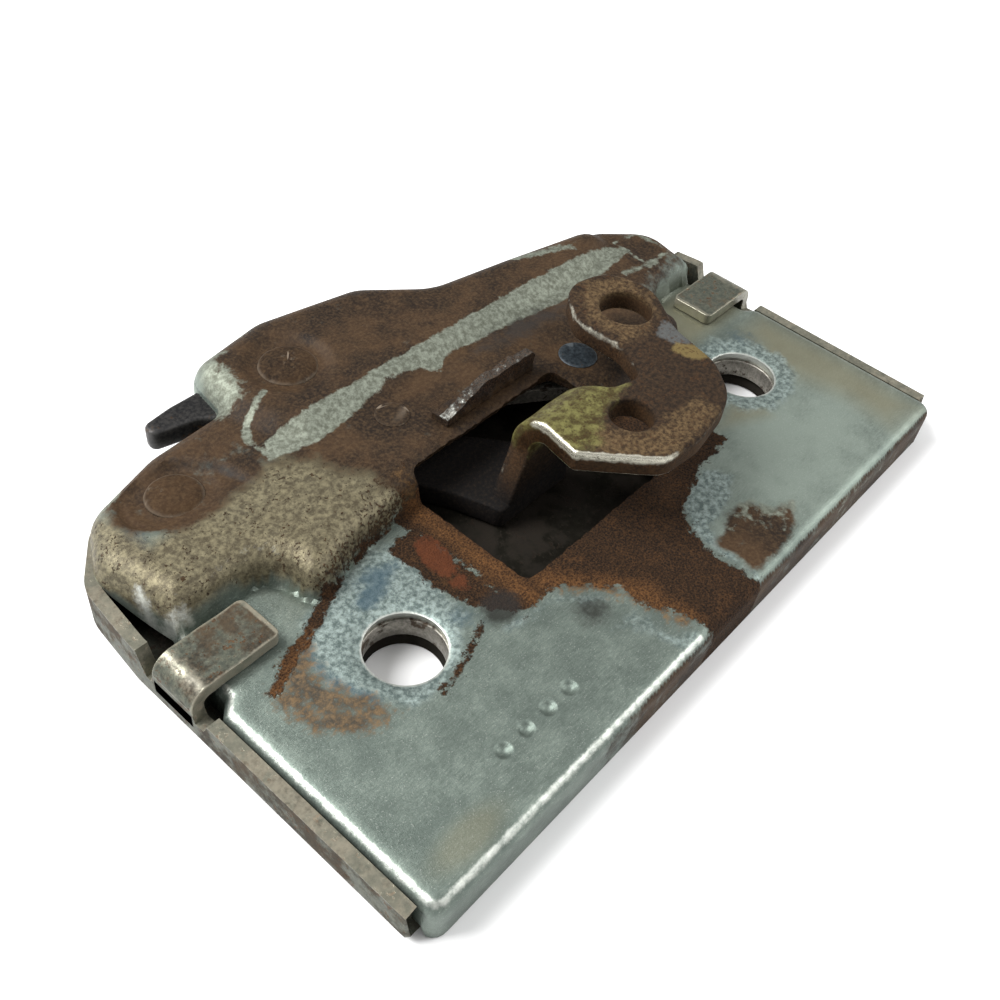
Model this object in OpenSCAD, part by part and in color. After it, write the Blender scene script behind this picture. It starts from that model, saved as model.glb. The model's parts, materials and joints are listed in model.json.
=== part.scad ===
/* [Case] */
// width of the pressed cover along its front edge
case_w = 92; // [85:1:100]
// sheet thickness of the cover and the tray
sheet = 1.5; // [1.2:0.1:2]
// top of the low mounting plate above the back face
low_top = 5.5; // [5:0.1:6.5]
// top of the raised middle band
mid_top = 9.5; // [9:0.1:10.5]
// top of the high ridge and hump
high_top = 10.7; // [10.2:0.1:12]
// height of the flanges beside the low plate
flange_top = 4.9; // [4:0.1:5.4]
// height where the cover's flank meets the tray's wall
seam_z = 6.5; // [6:0.1:7]
// sideways play between the cover and the flanges
nest_gap = 0.05; // [0.02:0.01:0.2]

/* [Fixing screws] */
// distance between the two fixing holes
screw_pitch = 61; // [55:0.5:66]
// diameter of the fixing holes
screw_d = 8.5; // [6.5:0.1:10]
// how far the holes sit in from the left edge
screw_x = 17.2; // [15:0.1:20]
// how far the holes sit in from the front edge
screw_y = 20.7; // [18:0.1:24]

/* [Release lever] */
// thickness of the lever's plate
lever_t = 2.8; // [2.5:0.1:3.2]
// underside of the lever's upper arm
arm_z = 13.2; // [12.5:0.1:15]
// diameter of the rod hole
rod_d = 5; // [4:0.1:6]
// diameter of the eye at the arm's end
eye_d = 6.4; // [5:0.1:7]

/* [Works] */
// radius of the claw's round rim
rim_r = 9.4; // [9:0.1:9.6]
// running clearance of each lever on its rivet, on the radius
run = 0.05; // [0.02:0.01:0.08]

/* [Hidden] */
$fn = 64;
back_t = sheet;
low_in = low_top - sheet;
mid_in = mid_top - sheet;
high_in = high_top - sheet;
foot_z = 1.75;
foot_top = foot_z + lever_t;
claw_z = 4.85;
claw_t = 2.75;
pawl_z = 4.75;
pawl_t = 2.15;
link_z = 5.0;
link_t = 1.9;
side = sheet + nest_gap;
right_x = case_w - 92;
mouth_lo = 4.45;
mouth_hi = 8.05;
dimple = 0.6;
claw_c = [33, 55.6];
pawl_c = [12, 49];
lever_c = [36.4, 42.1];
link_c = [60.6, 34.6];
rod_c = [50.3, 20.1];
eye_c = [65.1, 32];
stud_c = [47.2, 42];
stop_c = [39.1, 48.9];
steel = [0.62, 0.63, 0.6];
zinc = [0.68, 0.7, 0.7];
dark = [0.16, 0.15, 0.14];
rubbery = [0.1, 0.1, 0.1];
spring_c = [0.45, 0.44, 0.42];

// release lever: its stem, and its bend seen along X, y forward from the stem's rear face, z up
stem_x = 41.6;
stem_w = 8.4;
stem_y = 29.3;
bend = [[0, 10, 0.3], [0, arm_z + lever_t, 4.4], [-5, arm_z + lever_t, 0.05], [-5, arm_z, 0.05],
  [-lever_t, arm_z, 1.2], [-lever_t, 10, 0.3]];

// ---- helpers: rounded outlines, insets, lofts and wire sweeps ----
function unit(v) = v / norm(v);

// the arc that rounds corner b between neighbours a and c
function corner(a, b, c, r, n) =
  let (u = unit(a - b), w = unit(c - b), half = acos(max(-1, min(1, u * w))) / 2,
       d = r / tan(half), o = b + unit(u + w) * (r / sin(half)), p = b + u * d, q = b + w * d,
       a0 = atan2(p.y - o.y, p.x - o.x), a1 = atan2(q.y - o.y, q.x - o.x),
       da = ((a1 - a0 + 540) % 360) - 180)
  [for (i = [0:n]) o + r * [cos(a0 + da * i / n), sin(a0 + da * i / n)]];

function xy(p) = [p.x, p.y];

// a closed outline of corner points [x, y, radius]
function outline(pts, n = 4) =
  let (m = len(pts))
  [for (i = [0:m - 1])
    each corner(xy(pts[(i + m - 1) % m]), xy(pts[i]), xy(pts[(i + 1) % m]), pts[i][2], n)];

// the same corners moved inward by d, radii following
function inset(pts, d) =
  let (m = len(pts))
  [for (i = [0:m - 1])
    let (a = xy(pts[(i + m - 1) % m]), b = xy(pts[i]), c = xy(pts[(i + 1) % m]),
         e = unit(b - a), f = unit(c - b), n1 = [-e.y, e.x], n2 = [-f.y, f.x],
         s = (n1 + n2) * d / (1 + n1 * n2), turn = e.x * f.y - e.y * f.x)
    [b.x + s.x, b.y + s.y, max(0.08, turn > 0 ? pts[i][2] - d : pts[i][2] + d)]];

// a solid through the same outline at levels [z, inset]
module loft(pts, levels, n = 4) {
  rings = [for (l = levels) [for (p = outline(inset(pts, l[1]), n)) [p.x, p.y, l[0]]]];
  m = len(rings[0]);
  k = len(levels);
  polyhedron(
    points = [for (r = rings) each r],
    faces = concat(
      [[for (i = [0:m - 1]) i]],
      [for (j = [0:k - 2]) for (i = [0:m - 1])
        [j * m + (i + 1) % m, j * m + i, (j + 1) * m + i, (j + 1) * m + (i + 1) % m]],
      [[for (i = [m - 1:-1:0]) (k - 1) * m + i]]),
    convexity = 8);
}

// a flat plate of a rounded outline
module plate(pts, z, t, n = 6) {
  translate([0, 0, z]) linear_extrude(t) polygon(outline(pts, n));
}

// a straight arm with round ends
module arm2d(p, q, w) {
  v = q - p;
  translate(p) circle(d = w);
  translate(q) circle(d = w);
  translate(p) rotate(atan2(v.y, v.x)) translate([0, -w / 2]) square([norm(v), w]);
}

// a round bar at a plan point, from z0 to z1
module post(c, r, z0, z1) {
  translate([c.x, c.y, z0]) cylinder(r = r, h = z1 - z0);
}

// a wire of radius r along a path of points
module wire(path, r, n = 10) {
  m = len(path);
  rings = [for (i = [0:m - 1])
    let (t = unit(path[min(i + 1, m - 1)] - path[max(i - 1, 0)]), s = unit(cross([0, 0, 1], t)), u = cross(t, s))
    [for (j = [0:n - 1]) path[i] + r * (cos(360 * j / n) * s + sin(360 * j / n) * u)]];
  polyhedron(
    points = [for (q = rings) each q],
    faces = concat(
      [[for (j = [0:n - 1]) j]],
      [for (i = [0:m - 2]) for (j = [0:n - 1])
        [i * n + (j + 1) % n, i * n + j, (i + 1) * n + j, (i + 1) * n + (j + 1) % n]],
      [[for (j = [n - 1:-1:0]) (m - 1) * n + j]]),
    convexity = 6);
}

// a torsion spring: coils round c, a straight leg out of each end
function coil_path(c, r, z0, pitch, a0, a1, leg0, leg1, step = 15) =
  let (n = ceil((a1 - a0) / step),
       ring = [for (i = [0:n]) let (a = a0 + (a1 - a0) * i / n)
         [c.x + r * cos(a), c.y + r * sin(a), z0 + pitch * (a - a0) / 360]],
       first = ring[0], last = ring[n])
  concat([[first.x + leg0 * sin(a0), first.y - leg0 * cos(a0), z0]], ring,
         [[last.x - leg1 * sin(a1), last.y + leg1 * cos(a1), last.z]]);

// keeps one sheet-metal shell as a single formed mesh, its size unchanged
module formed() {
  resize([0, 0, 0]) children();
}

// puts the origin midway between the fixing holes
module seat() {
  translate([-(screw_x + screw_pitch / 2), -screw_y, 0]) children();
}

// ---- outlines, from the front left corner of the cover ----
lobes = [[89.4 + right_x, 37.2, 0.5], [91.2 + right_x, 45.4, 5.2], [84.5 + right_x, 51.2, 6],
  [68.5, 54.4, 9], [57, 56.4, 7], [49.5, 62.5, 6], [35.5, 65.2, 6], [24.4, 63.4, 3.4], [23.4, 56.3, 1.6],
  [13.5, 55.6, 7], [4, 52.6, 5], [0.4, 46.5, 4]];

cover_pts = concat(
  [[0, 0, 1.6], [case_w, 0, 1.6], [case_w, 27, 0.6], [case_w - 1.5, 28.5, 0.4], [case_w - 1.5, 36, 0.4]],
  lobes,
  [[2.6, 36.9, 0.5], [1.5, 35.9, 0.4], [1.5, 28.5, 0.4], [0, 27, 0.6]]);

mid_pts = concat(
  [[3, 37, 0.6], [14.2, 36.9, 4.2], [14.6, 30.2, 1.6], [22, 32.4, 6], [33, 33.4, 4], [53.7, 33.3, 1.9],
   [54.6, 27.8, 2.2], [66, 26.8, 4], [71, 30.4, 3], [77.8 + right_x, 30.2, 1.6], [78 + right_x, 36.9, 4.2]],
  lobes);

high_pts = [[27.5, 45, 3], [77, 43.8, 4], [83.5, 46.3, 3], [83.5, 51.4, 3.5], [68.5, 54.4, 9], [57, 56.4, 7],
  [49.5, 62.5, 6], [35.5, 65.2, 6], [24.4, 63.4, 3.4], [23.4, 56.3, 1.6], [22.6, 53, 1.2], [24.2, 48, 3]];

tray_pts = [[-side, 1.2, 0.4], [case_w + side, 1.2, 0.4], [case_w + side, 38.2, 4],
  [92.3 + right_x, 45.8, 5.4], [84.5 + right_x, 51.2, 6], [68.5, 54.4, 9], [57, 56.4, 7], [49.5, 62.5, 6],
  [35.5, 65.2, 6], [24.4, 63.4, 3.4], [23.4, 56.3, 1.6], [13.5, 55.6, 7], [4, 52.6, 5], [-0.7, 46.8, 5],
  [-side, 38.2, 4]];

low_form = [[0.1, 0], [low_top - 1.3, 0], [low_top - 0.6, 0.2], [low_top - 0.15, 0.7], [low_top, 1.4]];
mid_form = [[0.1, 0], [seam_z + 0.1, 0], [seam_z + 0.9, 0.3], [mid_top - 1, 0.95], [mid_top - 0.3, 1.8],
  [mid_top, 3]];
high_form = [[0.1, 0], [seam_z + 0.1, 0], [mid_top - 1.1, 0.35], [high_top - 0.9, 1.2], [high_top - 0.25, 2.1],
  [high_top, 3.4]];

function inner(form) = [for (l = form) [l[0] == form[0][0] ? -2 : l[0] - sheet, l[1] + sheet]];

// the space the claw's finger swings through
module claw_mouth() {
  translate([claw_c.x, claw_c.y, mouth_lo]) difference() {
    rotate([0, 0, 80]) rotate_extrude(angle = 120) translate([6.6, 0]) square([14, mouth_hi - mouth_lo]);
    translate([0, 0, -1]) cylinder(r = 6.4, h = 6);
  }
}

// both fixing holes
module screw_holes(z0, z1, r) {
  for (x = [screw_x, screw_x + screw_pitch]) post([x, screw_y], r, z0, z1);
}

module cover_shell() {
  difference() {
    union() {
      difference() {
        union() {
          loft(cover_pts, low_form);
          loft(mid_pts, mid_form);
          loft(high_pts, high_form);
        }
        loft(cover_pts, inner(low_form));
        loft(mid_pts, inner(mid_form));
        loft(high_pts, inner(high_form));
      }
      // undersides of the rivet dimples
      post(claw_c, 6.2, high_in - dimple, high_in + 0.2);
      post(pawl_c, 6.0, mid_in - dimple, mid_in + 0.2);
      // lug bent up along the slot's upper edge
      translate([0, 36.6, 0]) rotate([90, 0, 0]) linear_extrude(sheet + 0.1)
        polygon(outline([[39.2, mid_in - 0.2, 0.2], [54.2, mid_in - 0.2, 0.2], [54.2, mid_top + 3, 1],
          [45, mid_top + 3, 2], [41.6, mid_top + 0.8, 2], [39.2, mid_top - 0.4, 0.3]]));
    }
    // window the lever comes up through
    plate([[32, 17.6, 1.2], [56, 17.6, 1.2], [56, 35, 1.2], [32, 35, 1.2]], -1, 20);
    claw_mouth();
    // the tray's plate and walls take the room below the seam
    translate([-3, sheet + 0.05, -3]) cube([case_w + 6, 80, back_t + 3.02]);
    translate([-3, 37.4, -3]) cube([case_w + 6, 40, seam_z + 3.03]);
    // shallow rectangular press mark at the ridge's right end
    translate([83.6, 43.2, mid_top - 0.35]) rotate([0, 0, -8]) cube([4, 4.6, 3]);
    // four light punch marks where a maker's number would be
    for (i = [0:3]) translate([15.4 + i * 3.2, 6.4, low_top + 0.35]) sphere(d = 1.7, $fn = 16);
  }
}

module cover() color(zinc) seat() {
  difference() {
    formed() cover_shell();
    screw_holes(-1, 20, screw_d / 2);
    // dimples round the two pivot rivets
    post(claw_c, 5, high_top - dimple, high_top + 2);
    post(pawl_c, 5, mid_top - dimple, mid_top + 2);
    // holes the rivets are peened in
    post(claw_c, 2.2, 5, 20);
    post(pawl_c, 2, 5, 20);
    post(lever_c, 2, 5, 20);
    post(link_c, 1.7, 5, 20);
  }
}

// one flange tab, folded flat over the cover
module tab() {
  intersection() {
    translate([0, 35.3, 0]) rotate([90, 0, 0]) linear_extrude(6)
      polygon(outline([[-side, flange_top - 2, 0.05], [-nest_gap - 0.2, flange_top - 2, 0.05],
        [-nest_gap - 0.2, low_top + 0.05, 0.3], [9.2, low_top + 0.05, 0.2], [9.2, low_top + 0.05 + sheet, 0.3],
        [-side, low_top + 0.05 + sheet, 1.7]]));
    plate([[-side - 1, 29.3, 0.05], [9.2, 29.3, 1.3], [9.2, 35.3, 1.3], [-side - 1, 35.3, 0.05]], 0, 20);
  }
}

module tray_shell() {
  difference() {
    loft(tray_pts, [[0, 1.5], [0.25, 0.75], [0.75, 0.22], [1.5, 0], [seam_z, 0]]);
    loft(tray_pts, [[back_t, sheet + 0.02], [seam_z + 1, sheet]]);
    // low side flanges
    translate([-3, -1, flange_top]) cube([case_w + 6, 38.5, 20]);
    // open front
    translate([0.3, -1, back_t]) cube([case_w - 0.6, 4.6, 20]);
    translate([-0.02, -1, -1]) cube([case_w + 0.04, 1 + sheet + 0.12, 20]);
    claw_mouth();
    // outlet in the right-hand wall for a rod to the link lever
    translate([case_w - 5, 41.5, 3.4]) cube([8, 4.6, 10]);
  }
  tab();
  translate([case_w, 0, 0]) mirror([1, 0, 0]) tab();
}

module back_tray() color(zinc) seat() {
  difference() {
    formed() tray_shell();
    screw_holes(-1, 20, screw_d / 2);
    post(claw_c, 2.5, -1, 4);
    post(pawl_c, 2.2, -1, 4);
    post(lever_c, 2.2, -1, 4);
    post(link_c, 1.9, -1, 4);
    post(stop_c, 1, -1, 4);
  }
}

module screw_spacers() color(steel) seat() {
  difference() {
    screw_holes(back_t + 0.02, low_in - 0.02, 7.4);
    screw_holes(0, 10, screw_d / 2 + 0.1);
  }
}

module claw() color(dark) seat() {
  difference() {
    union() {
      post(claw_c, 6, claw_z, claw_z + claw_t);
      // round rim the pawl rides on
      translate([claw_c.x, claw_c.y, claw_z]) rotate([0, 0, 216]) rotate_extrude(angle = 78)
        square([rim_r, claw_t]);
      // hooked finger out of the case's top edge
      plate([[33, 61.4, 0.5], [20.4, 61.3, 1.5], [16.6, 60.8, 1], [16.1, 58.9, 0.9], [21.6, 57.6, 3],
        [26.6, 52.6, 3], [33, 52, 0.5]], claw_z, claw_t);
    }
    post(claw_c, 3 + run, 0, 20);
    // notch the pawl drops into when the claw is thrown
    translate([35.1, 45.7, 0]) cylinder(r = 1.7, h = 20);
  }
}

module claw_pivot_rivet() color(steel) seat() translate([claw_c.x, claw_c.y, 0]) rotate_extrude()
  polygon([[0, 0], [2.5, 0], [2.5, back_t], [3, back_t], [3, high_in - dimple - 0.02],
    [2.2, high_in - dimple - 0.02], [2.2, high_top - dimple], [3.3, high_top - dimple + 0.01],
    [3.2, high_top - dimple + 0.4], [2.3, high_top - dimple + 0.8], [0, high_top - dimple + 0.95]]);

module ring(c, r0, r1, z0, z1) {
  translate([c.x, c.y, z0]) difference() {
    cylinder(r = r1, h = z1 - z0);
    translate([0, 0, -1]) cylinder(r = r0, h = z1 - z0 + 2);
  }
}

module claw_lower_washer() color(steel) seat()
  ring(claw_c, 3 + run, 4.4, foot_top - 0.1, claw_z - 0.1);

module claw_spring() color(spring_c) seat()
  wire(coil_path(claw_c, 3.9, 2, 0.85, 20, 20 + 360 * 2.4, 3.6, 4), 0.35);

module stop_pin() color(steel) seat() post(stop_c, 1, 0, 8.2);

module stop_buffer() color(rubbery) seat() ring(stop_c, 1.02, 2.1, claw_z - 0.1, claw_z + claw_t);

module pawl() color(steel) seat() {
  difference() {
    union() {
      plate([[8.7, 45.7, 3.3], [13.5, 45.2, 3], [20.5, 45.5, 2], [24.4, 44.3, 1.4], [26.6, 44.6, 0.8],
        [26.4, 47.6, 0.4], [18, 50.2, 2], [14.6, 52.3, 2.5], [8.7, 52.3, 3.3]], pawl_z, pawl_t);
      // pin the release lever's arm pushes on
      post([20, 49.3], 1.2, pawl_z - 1.6, pawl_z + 0.5);
    }
    post(pawl_c, 2.2 + run, 0, 20);
  }
}

module pawl_pivot_rivet() color(steel) seat() translate([pawl_c.x, pawl_c.y, 0]) rotate_extrude()
  polygon([[0, 0], [2.2, 0], [2.2, mid_in - dimple - 0.02], [2, mid_in - dimple - 0.02],
    [2, mid_top - dimple], [3.1, mid_top - dimple + 0.01],
    [2.9, mid_top - dimple + 0.45], [1.8, mid_top - dimple + 0.8], [0, mid_top - dimple + 0.95]]);

module pawl_lower_washer() color(steel) seat() ring(pawl_c, 2.2 + run, 3.3, pawl_z - 0.4, pawl_z - 0.1);

module pawl_spring() color(spring_c) seat()
  wire(coil_path(pawl_c, 3.4, 1.9, 0.65, -60, 290 + 360 * 2, 8.5, 1.4), 0.28);

module release_lever() color(steel) seat() {
  difference() {
    union() {
      // upper arm
      plate([[stem_x, stem_y - 4.4, 0.05], [41.3, 20.8, 0.5], [47.6, 13.4, 3.5], [53, 12.9, 7], [61, 14.2, 7],
        [64.9, 19, 6], [66.3, 25.5, 9], [70.6, 31.8, 5], [69.4, 38.4, 4.6], [62.6, 39.4, 4.6],
        [58.6, 34.6, 4.5], [58.8, 28, 4], [56.6, 23.2, 2], [52.6, 24.2, 3],
        [stem_x + stem_w, stem_y - 4.4, 0.05]], arm_z, lever_t);
      // bend
      translate([stem_x, stem_y, 0]) rotate([90, 0, 90]) linear_extrude(stem_w) polygon(outline(bend, 8));
      // stem, widening towards the foot
      translate([0, stem_y, 0]) rotate([90, 0, 0]) linear_extrude(lever_t)
        polygon(outline([[38.2, foot_z, 0.3], [stem_x + stem_w, foot_z, 0.3], [stem_x + stem_w, 11, 0.1],
          [stem_x, 11, 0.1]]));
    }
    post(rod_c, rod_d / 2, arm_z - 1, 20);
    post(eye_c, eye_d / 2, arm_z - 1, 20);
  }
}

// the lever's foot inside the case, joined to the stem's rear face
module lever_foot_plate() color(steel) seat() {
  difference() {
    union() {
      plate([[38.2, stem_y + 0.02, 0.3], [stem_x + stem_w, stem_y + 0.02, 0.3], [48.4, 33, 2],
        [45.5, 36, 4], [41.2, 41, 2], [38, 42, 1], [33, 42, 2], [31.6, 41, 2], [36.4, 32, 4]],
        foot_z, lever_t);
      translate([0, 0, foot_z]) linear_extrude(lever_t) {
        translate(lever_c) circle(r = 4.8);
        arm2d(lever_c, [22.5, 52.25], 3.8);
        arm2d(lever_c, stud_c, 4.6);
      }
    }
    post(lever_c, 2.8 + run, 0, foot_top + 1);
    post(stud_c, 1.62, 0, foot_top + 1);
  }
}

// stud that works the link lever
module lever_stud() color(steel) seat() post(stud_c, 1.6, foot_z, link_z + link_t);

module lever_pivot_rivet() color(steel) seat() translate([lever_c.x, lever_c.y, 0]) rotate_extrude()
  polygon([[0, 0], [2.2, 0], [2.2, back_t], [2.8, back_t], [2.8, mid_in - 0.02], [2, mid_in - 0.02],
    [2, mid_top + 0.1], [1.7, mid_top + 0.2], [0, mid_top + 0.2]]);

module lever_upper_sleeve() color(steel) seat() ring(lever_c, 2.8 + run, 3.2, foot_top + 0.1, mid_in - 0.1);

module lever_spring() color(spring_c) seat()
  wire(coil_path(lever_c, 3.75, foot_top + 0.75, 0.8, -75, -75 + 360 * 2.1, 4.5, 4.5), 0.35);

module link_lever() color(steel) seat() {
  difference() {
    plate([[44.2, 38.6, 1.6], [51.2, 37.6, 3], [57.6, 33.4, 3], [58.8, 31.8, 2.4], [63.4, 31.8, 2.8],
      [69.5, 39.8, 4], [80.5, 43.6, 2.4], [83, 46.2, 1.8], [80.8, 49, 1.8], [77.5, 48.2, 2], [66.5, 44.4, 4],
      [61.5, 39.4, 3], [57, 39.8, 3], [51, 44.6, 3], [44.2, 45.3, 1.4]], link_z, link_t);
    // open fork round the release lever's stud
    translate([42, 40.1, 0]) cube([7.4, 3.8, 20]);
    post([80, 46.3], 1.2, 0, 20);
    post(link_c, 1.9 + run, 0, 20);
  }
}

module link_pivot_rivet() color(steel) seat() translate([link_c.x, link_c.y, 0]) rotate_extrude()
  polygon([[0, 0], [1.9, 0], [1.9, mid_in - 0.02], [1.7, mid_in - 0.02],
    [1.7, mid_top + 0.01], [2.4, mid_top + 0.02], [2.2, mid_top + 0.15], [0, mid_top + 0.2]]);

module link_lower_sleeve() color(steel) seat() ring(link_c, 1.9 + run, 2.9, back_t + 0.05, link_z - 0.1);

module link_upper_washer() color(steel) seat()
  ring(link_c, 1.9 + run, 2.7, link_z + link_t + 0.1, link_z + link_t + 0.5);

cover();
back_tray();
screw_spacers();
claw();
claw_pivot_rivet();
claw_lower_washer();
claw_spring();
stop_pin();
stop_buffer();
pawl();
pawl_pivot_rivet();
pawl_lower_washer();
pawl_spring();
release_lever();
lever_foot_plate();
lever_stud();
lever_pivot_rivet();
lever_upper_sleeve();
lever_spring();
link_lever();
link_pivot_rivet();
link_lower_sleeve();
link_upper_washer();
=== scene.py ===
"""Slam latch in a two-part pressed case: its looks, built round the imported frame.

Plan positions are millimetres from the cover's front left corner, x to the right and y to the rear;
heights are millimetres above the back face. place() turns both into the shared frame in metres.
"""

import json
import math

import bpy
import numpy as np
from mathutils import Matrix, Vector
from mathutils.geometry import delaunay_2d_cdt


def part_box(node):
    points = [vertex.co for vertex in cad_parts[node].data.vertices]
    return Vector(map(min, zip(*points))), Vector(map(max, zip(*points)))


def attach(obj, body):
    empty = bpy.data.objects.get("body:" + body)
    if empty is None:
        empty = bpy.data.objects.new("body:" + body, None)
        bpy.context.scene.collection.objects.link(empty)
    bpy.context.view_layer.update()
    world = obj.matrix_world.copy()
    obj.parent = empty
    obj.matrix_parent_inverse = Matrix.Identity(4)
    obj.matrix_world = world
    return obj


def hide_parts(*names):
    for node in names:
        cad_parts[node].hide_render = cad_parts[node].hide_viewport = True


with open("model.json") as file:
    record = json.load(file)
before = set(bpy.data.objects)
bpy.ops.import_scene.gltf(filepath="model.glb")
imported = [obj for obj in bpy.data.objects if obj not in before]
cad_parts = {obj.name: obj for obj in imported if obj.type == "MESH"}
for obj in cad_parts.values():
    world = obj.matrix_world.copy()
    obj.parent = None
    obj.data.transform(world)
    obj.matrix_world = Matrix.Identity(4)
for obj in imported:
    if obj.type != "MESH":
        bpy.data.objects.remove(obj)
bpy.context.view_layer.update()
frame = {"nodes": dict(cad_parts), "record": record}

MM = 0.001
CORNER = np.array(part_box("cover")[0][:2]) / MM


def centre(node_name):
    """Plan centre of a node's box."""
    lo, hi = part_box(node_name)
    return np.array([(lo.x + hi.x) / 2, (lo.y + hi.y) / 2]) / MM - CORNER


def level(node_name, top=True):
    """Height of a node's top or underside."""
    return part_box(node_name)[1 if top else 0].z / MM


CLAW_C = centre("claw_pivot_rivet")
PAWL_C = centre("pawl_pivot_rivet")
LEVER_C = centre("lever_pivot_rivet")
MOUNTS = {m["name"]: m for m in frame["record"]["mounts"]}
LOW_TOP = MOUNTS["fixing_holes"]["pos_m"][2] / MM
SCREW_R = MOUNTS["fixing_holes"]["dims"]["hole_r_mm"]
SCREW_PITCH = MOUNTS["fixing_holes"]["dims"]["spacing_x_mm"]
SCREW_MID = -CORNER
SCREWS = [SCREW_MID + [-SCREW_PITCH / 2, 0], SCREW_MID + [SCREW_PITCH / 2, 0]]
ARM_TOP = level("release_lever")
ROD_C = np.array(MOUNTS["rod_hole"]["pos_m"][:2]) / MM - CORNER
ROD_R = MOUNTS["rod_hole"]["dims"]["r_mm"]
EYE_C = np.array(MOUNTS["arm_eye"]["pos_m"][:2]) / MM - CORNER
EYE_R = MOUNTS["arm_eye"]["dims"]["r_mm"]
MID_TOP = LOW_TOP + 4
HIGH_TOP = LOW_TOP + 5.2
SEAM = 6.5
FLANGE_TOP = 4.9
LEVER_T = 2.8
FOOT_Z = level("lever_foot_plate", top=False)
STUD_C = centre("lever_stud")
STUD_TOP = level("lever_stud")
CASE_W = 92
COVER_SHEET = 1.38
TRAY_SHEET = 1.42
TAB_SHEET = 1.46
LUG_SHEET = 1.25
PUNCH_MARKS = [np.array([15.4 + 3.2 * k, 6.4]) for k in range(4)]
PRESS_MARK = [85.7, 43.2]
PRESS_MARK_HALF = [1.9, 2.2]
WINDOW_ANGLES = [92, 200]
WINDOW_RADII = [6.6, 20.6]
WINDOW_Z = [4.45, 8.05]

# ---- outlines: corner points [x, y, radius], counter-clockwise ----
LOBES = [[89.4, 37.2, .5], [91.2, 45.4, 5.2], [84.5, 51.2, 6], [68.5, 54.4, 9], [57, 56.4, 7],
         [49.5, 62.5, 6], [35.5, 65.2, 6], [24.4, 63.4, 3.4], [23.4, 56.3, 1.6], [13.5, 55.6, 7],
         [4, 52.6, 5], [.4, 46.5, 4]]
COVER = ([[0, 0, 1.6], [92, 0, 1.6], [92, 27, .6], [90.5, 28.5, .4], [90.5, 36, .4]] + LOBES
         + [[2.6, 36.9, .5], [1.5, 35.9, .4], [1.5, 28.5, .4], [0, 27, .6]])
MIDDLE = ([[3, 37, .6], [14.2, 36.9, 4.2], [14.6, 30.2, 1.6], [22, 32.4, 6], [33, 33.4, 4],
           [53.7, 33.3, 1.9], [54.6, 27.8, 2.2], [66, 26.8, 4], [71, 30.4, 3], [77.8, 30.2, 1.6],
           [78, 36.9, 4.2]] + LOBES)
HIGH = [[27.5, 45, 3], [77, 43.8, 4], [83.5, 46.3, 3], [83.5, 51.4, 3.5], [68.5, 54.4, 9],
        [57, 56.4, 7], [49.5, 62.5, 6], [35.5, 65.2, 6], [24.4, 63.4, 3.4], [23.4, 56.3, 1.6],
        [22.6, 53, 1.2], [24.2, 48, 3]]
SLOT = [[32, 17.6, 1.2], [56, 17.6, 1.2], [56, 35, 1.2], [32, 35, 1.2]]
RECESS = [[5.4, 48, 3], [9.5, 43.4, 3], [19.3, 43.6, .5], [18, 49, 3.5], [14.6, 53, 3], [6.6, 52.6, 3]]
TRAY = [[-1.55, 1.6, .4], [93.55, 1.6, .4], [93.55, 38.2, 4], [92.3, 45.8, 5.4], [84.5, 51.2, 6],
        [68.5, 54.4, 9], [57, 56.4, 7], [49.5, 62.5, 6], [35.5, 65.2, 6], [24.4, 63.4, 3.4],
        [23.4, 56.3, 1.6], [13.5, 55.6, 7], [4, 52.6, 5], [-.7, 46.8, 5], [-1.55, 38.2, 4]]
BEND_Y = 24.9
BEND_R = 3.0
STEM_BOTTOM = 39.6
ARM = [[38.4, STEM_BOTTOM, .4], [41.5, 30.6, 3], [42, 25.4, 6], [41.2, 20.6, .5], [47.6, 13.4, 3.2],
       [53, 12.9, 7], [61, 14.2, 7], [64.9, 19, 6], [66.3, 25.5, 9], [70.6, 31.8, 5], [69.4, 38.4, 4.6],
       [62.6, 39.4, 4.6], [58.6, 34.6, 4.5], [58.8, 28, 4], [56.6, 23.2, 2], [52.6, 24.2, 3],
       [50.1, 27, 2.5], [50, STEM_BOTTOM, .4]]
FOOT = [[38.2, 26.5, .4], [50, 26.5, .4], [50, 30, 2], [45.5, 36, 4], [41.2, 41, 2], [38, 46.6, 3],
        [33, 46.4, 3], [31.6, 41, 2], [36.4, 32, 4]]


# ---- plan geometry ----
def rounded(corners, steps=10):
    """Closed outline: each corner becomes an arc touching both its sides, with its centre on the
    bisector at radius / sin(half the corner's angle)."""
    loop = []
    count = len(corners)
    for i in range(count):
        a, b, c = (np.array(corners[k % count][:2], float) for k in (i - 1, i, i + 1))
        radius = corners[i][2]
        u = (a - b) / np.linalg.norm(a - b)
        w = (c - b) / np.linalg.norm(c - b)
        half = math.acos(max(-1, min(1, float(u @ w)))) / 2
        middle = b + (u + w) / np.linalg.norm(u + w) * radius / math.sin(half)
        start = b + u * radius / math.tan(half) - middle
        end = b + w * radius / math.tan(half) - middle
        a0 = math.atan2(start[1], start[0])
        turn = (math.atan2(end[1], end[0]) - a0 + math.pi) % (2 * math.pi) - math.pi
        angle = a0 + turn * np.linspace(0, 1, steps + 1)
        loop.append(middle + radius * np.stack([np.cos(angle), np.sin(angle)], 1))
    return np.vstack(loop)


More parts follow.
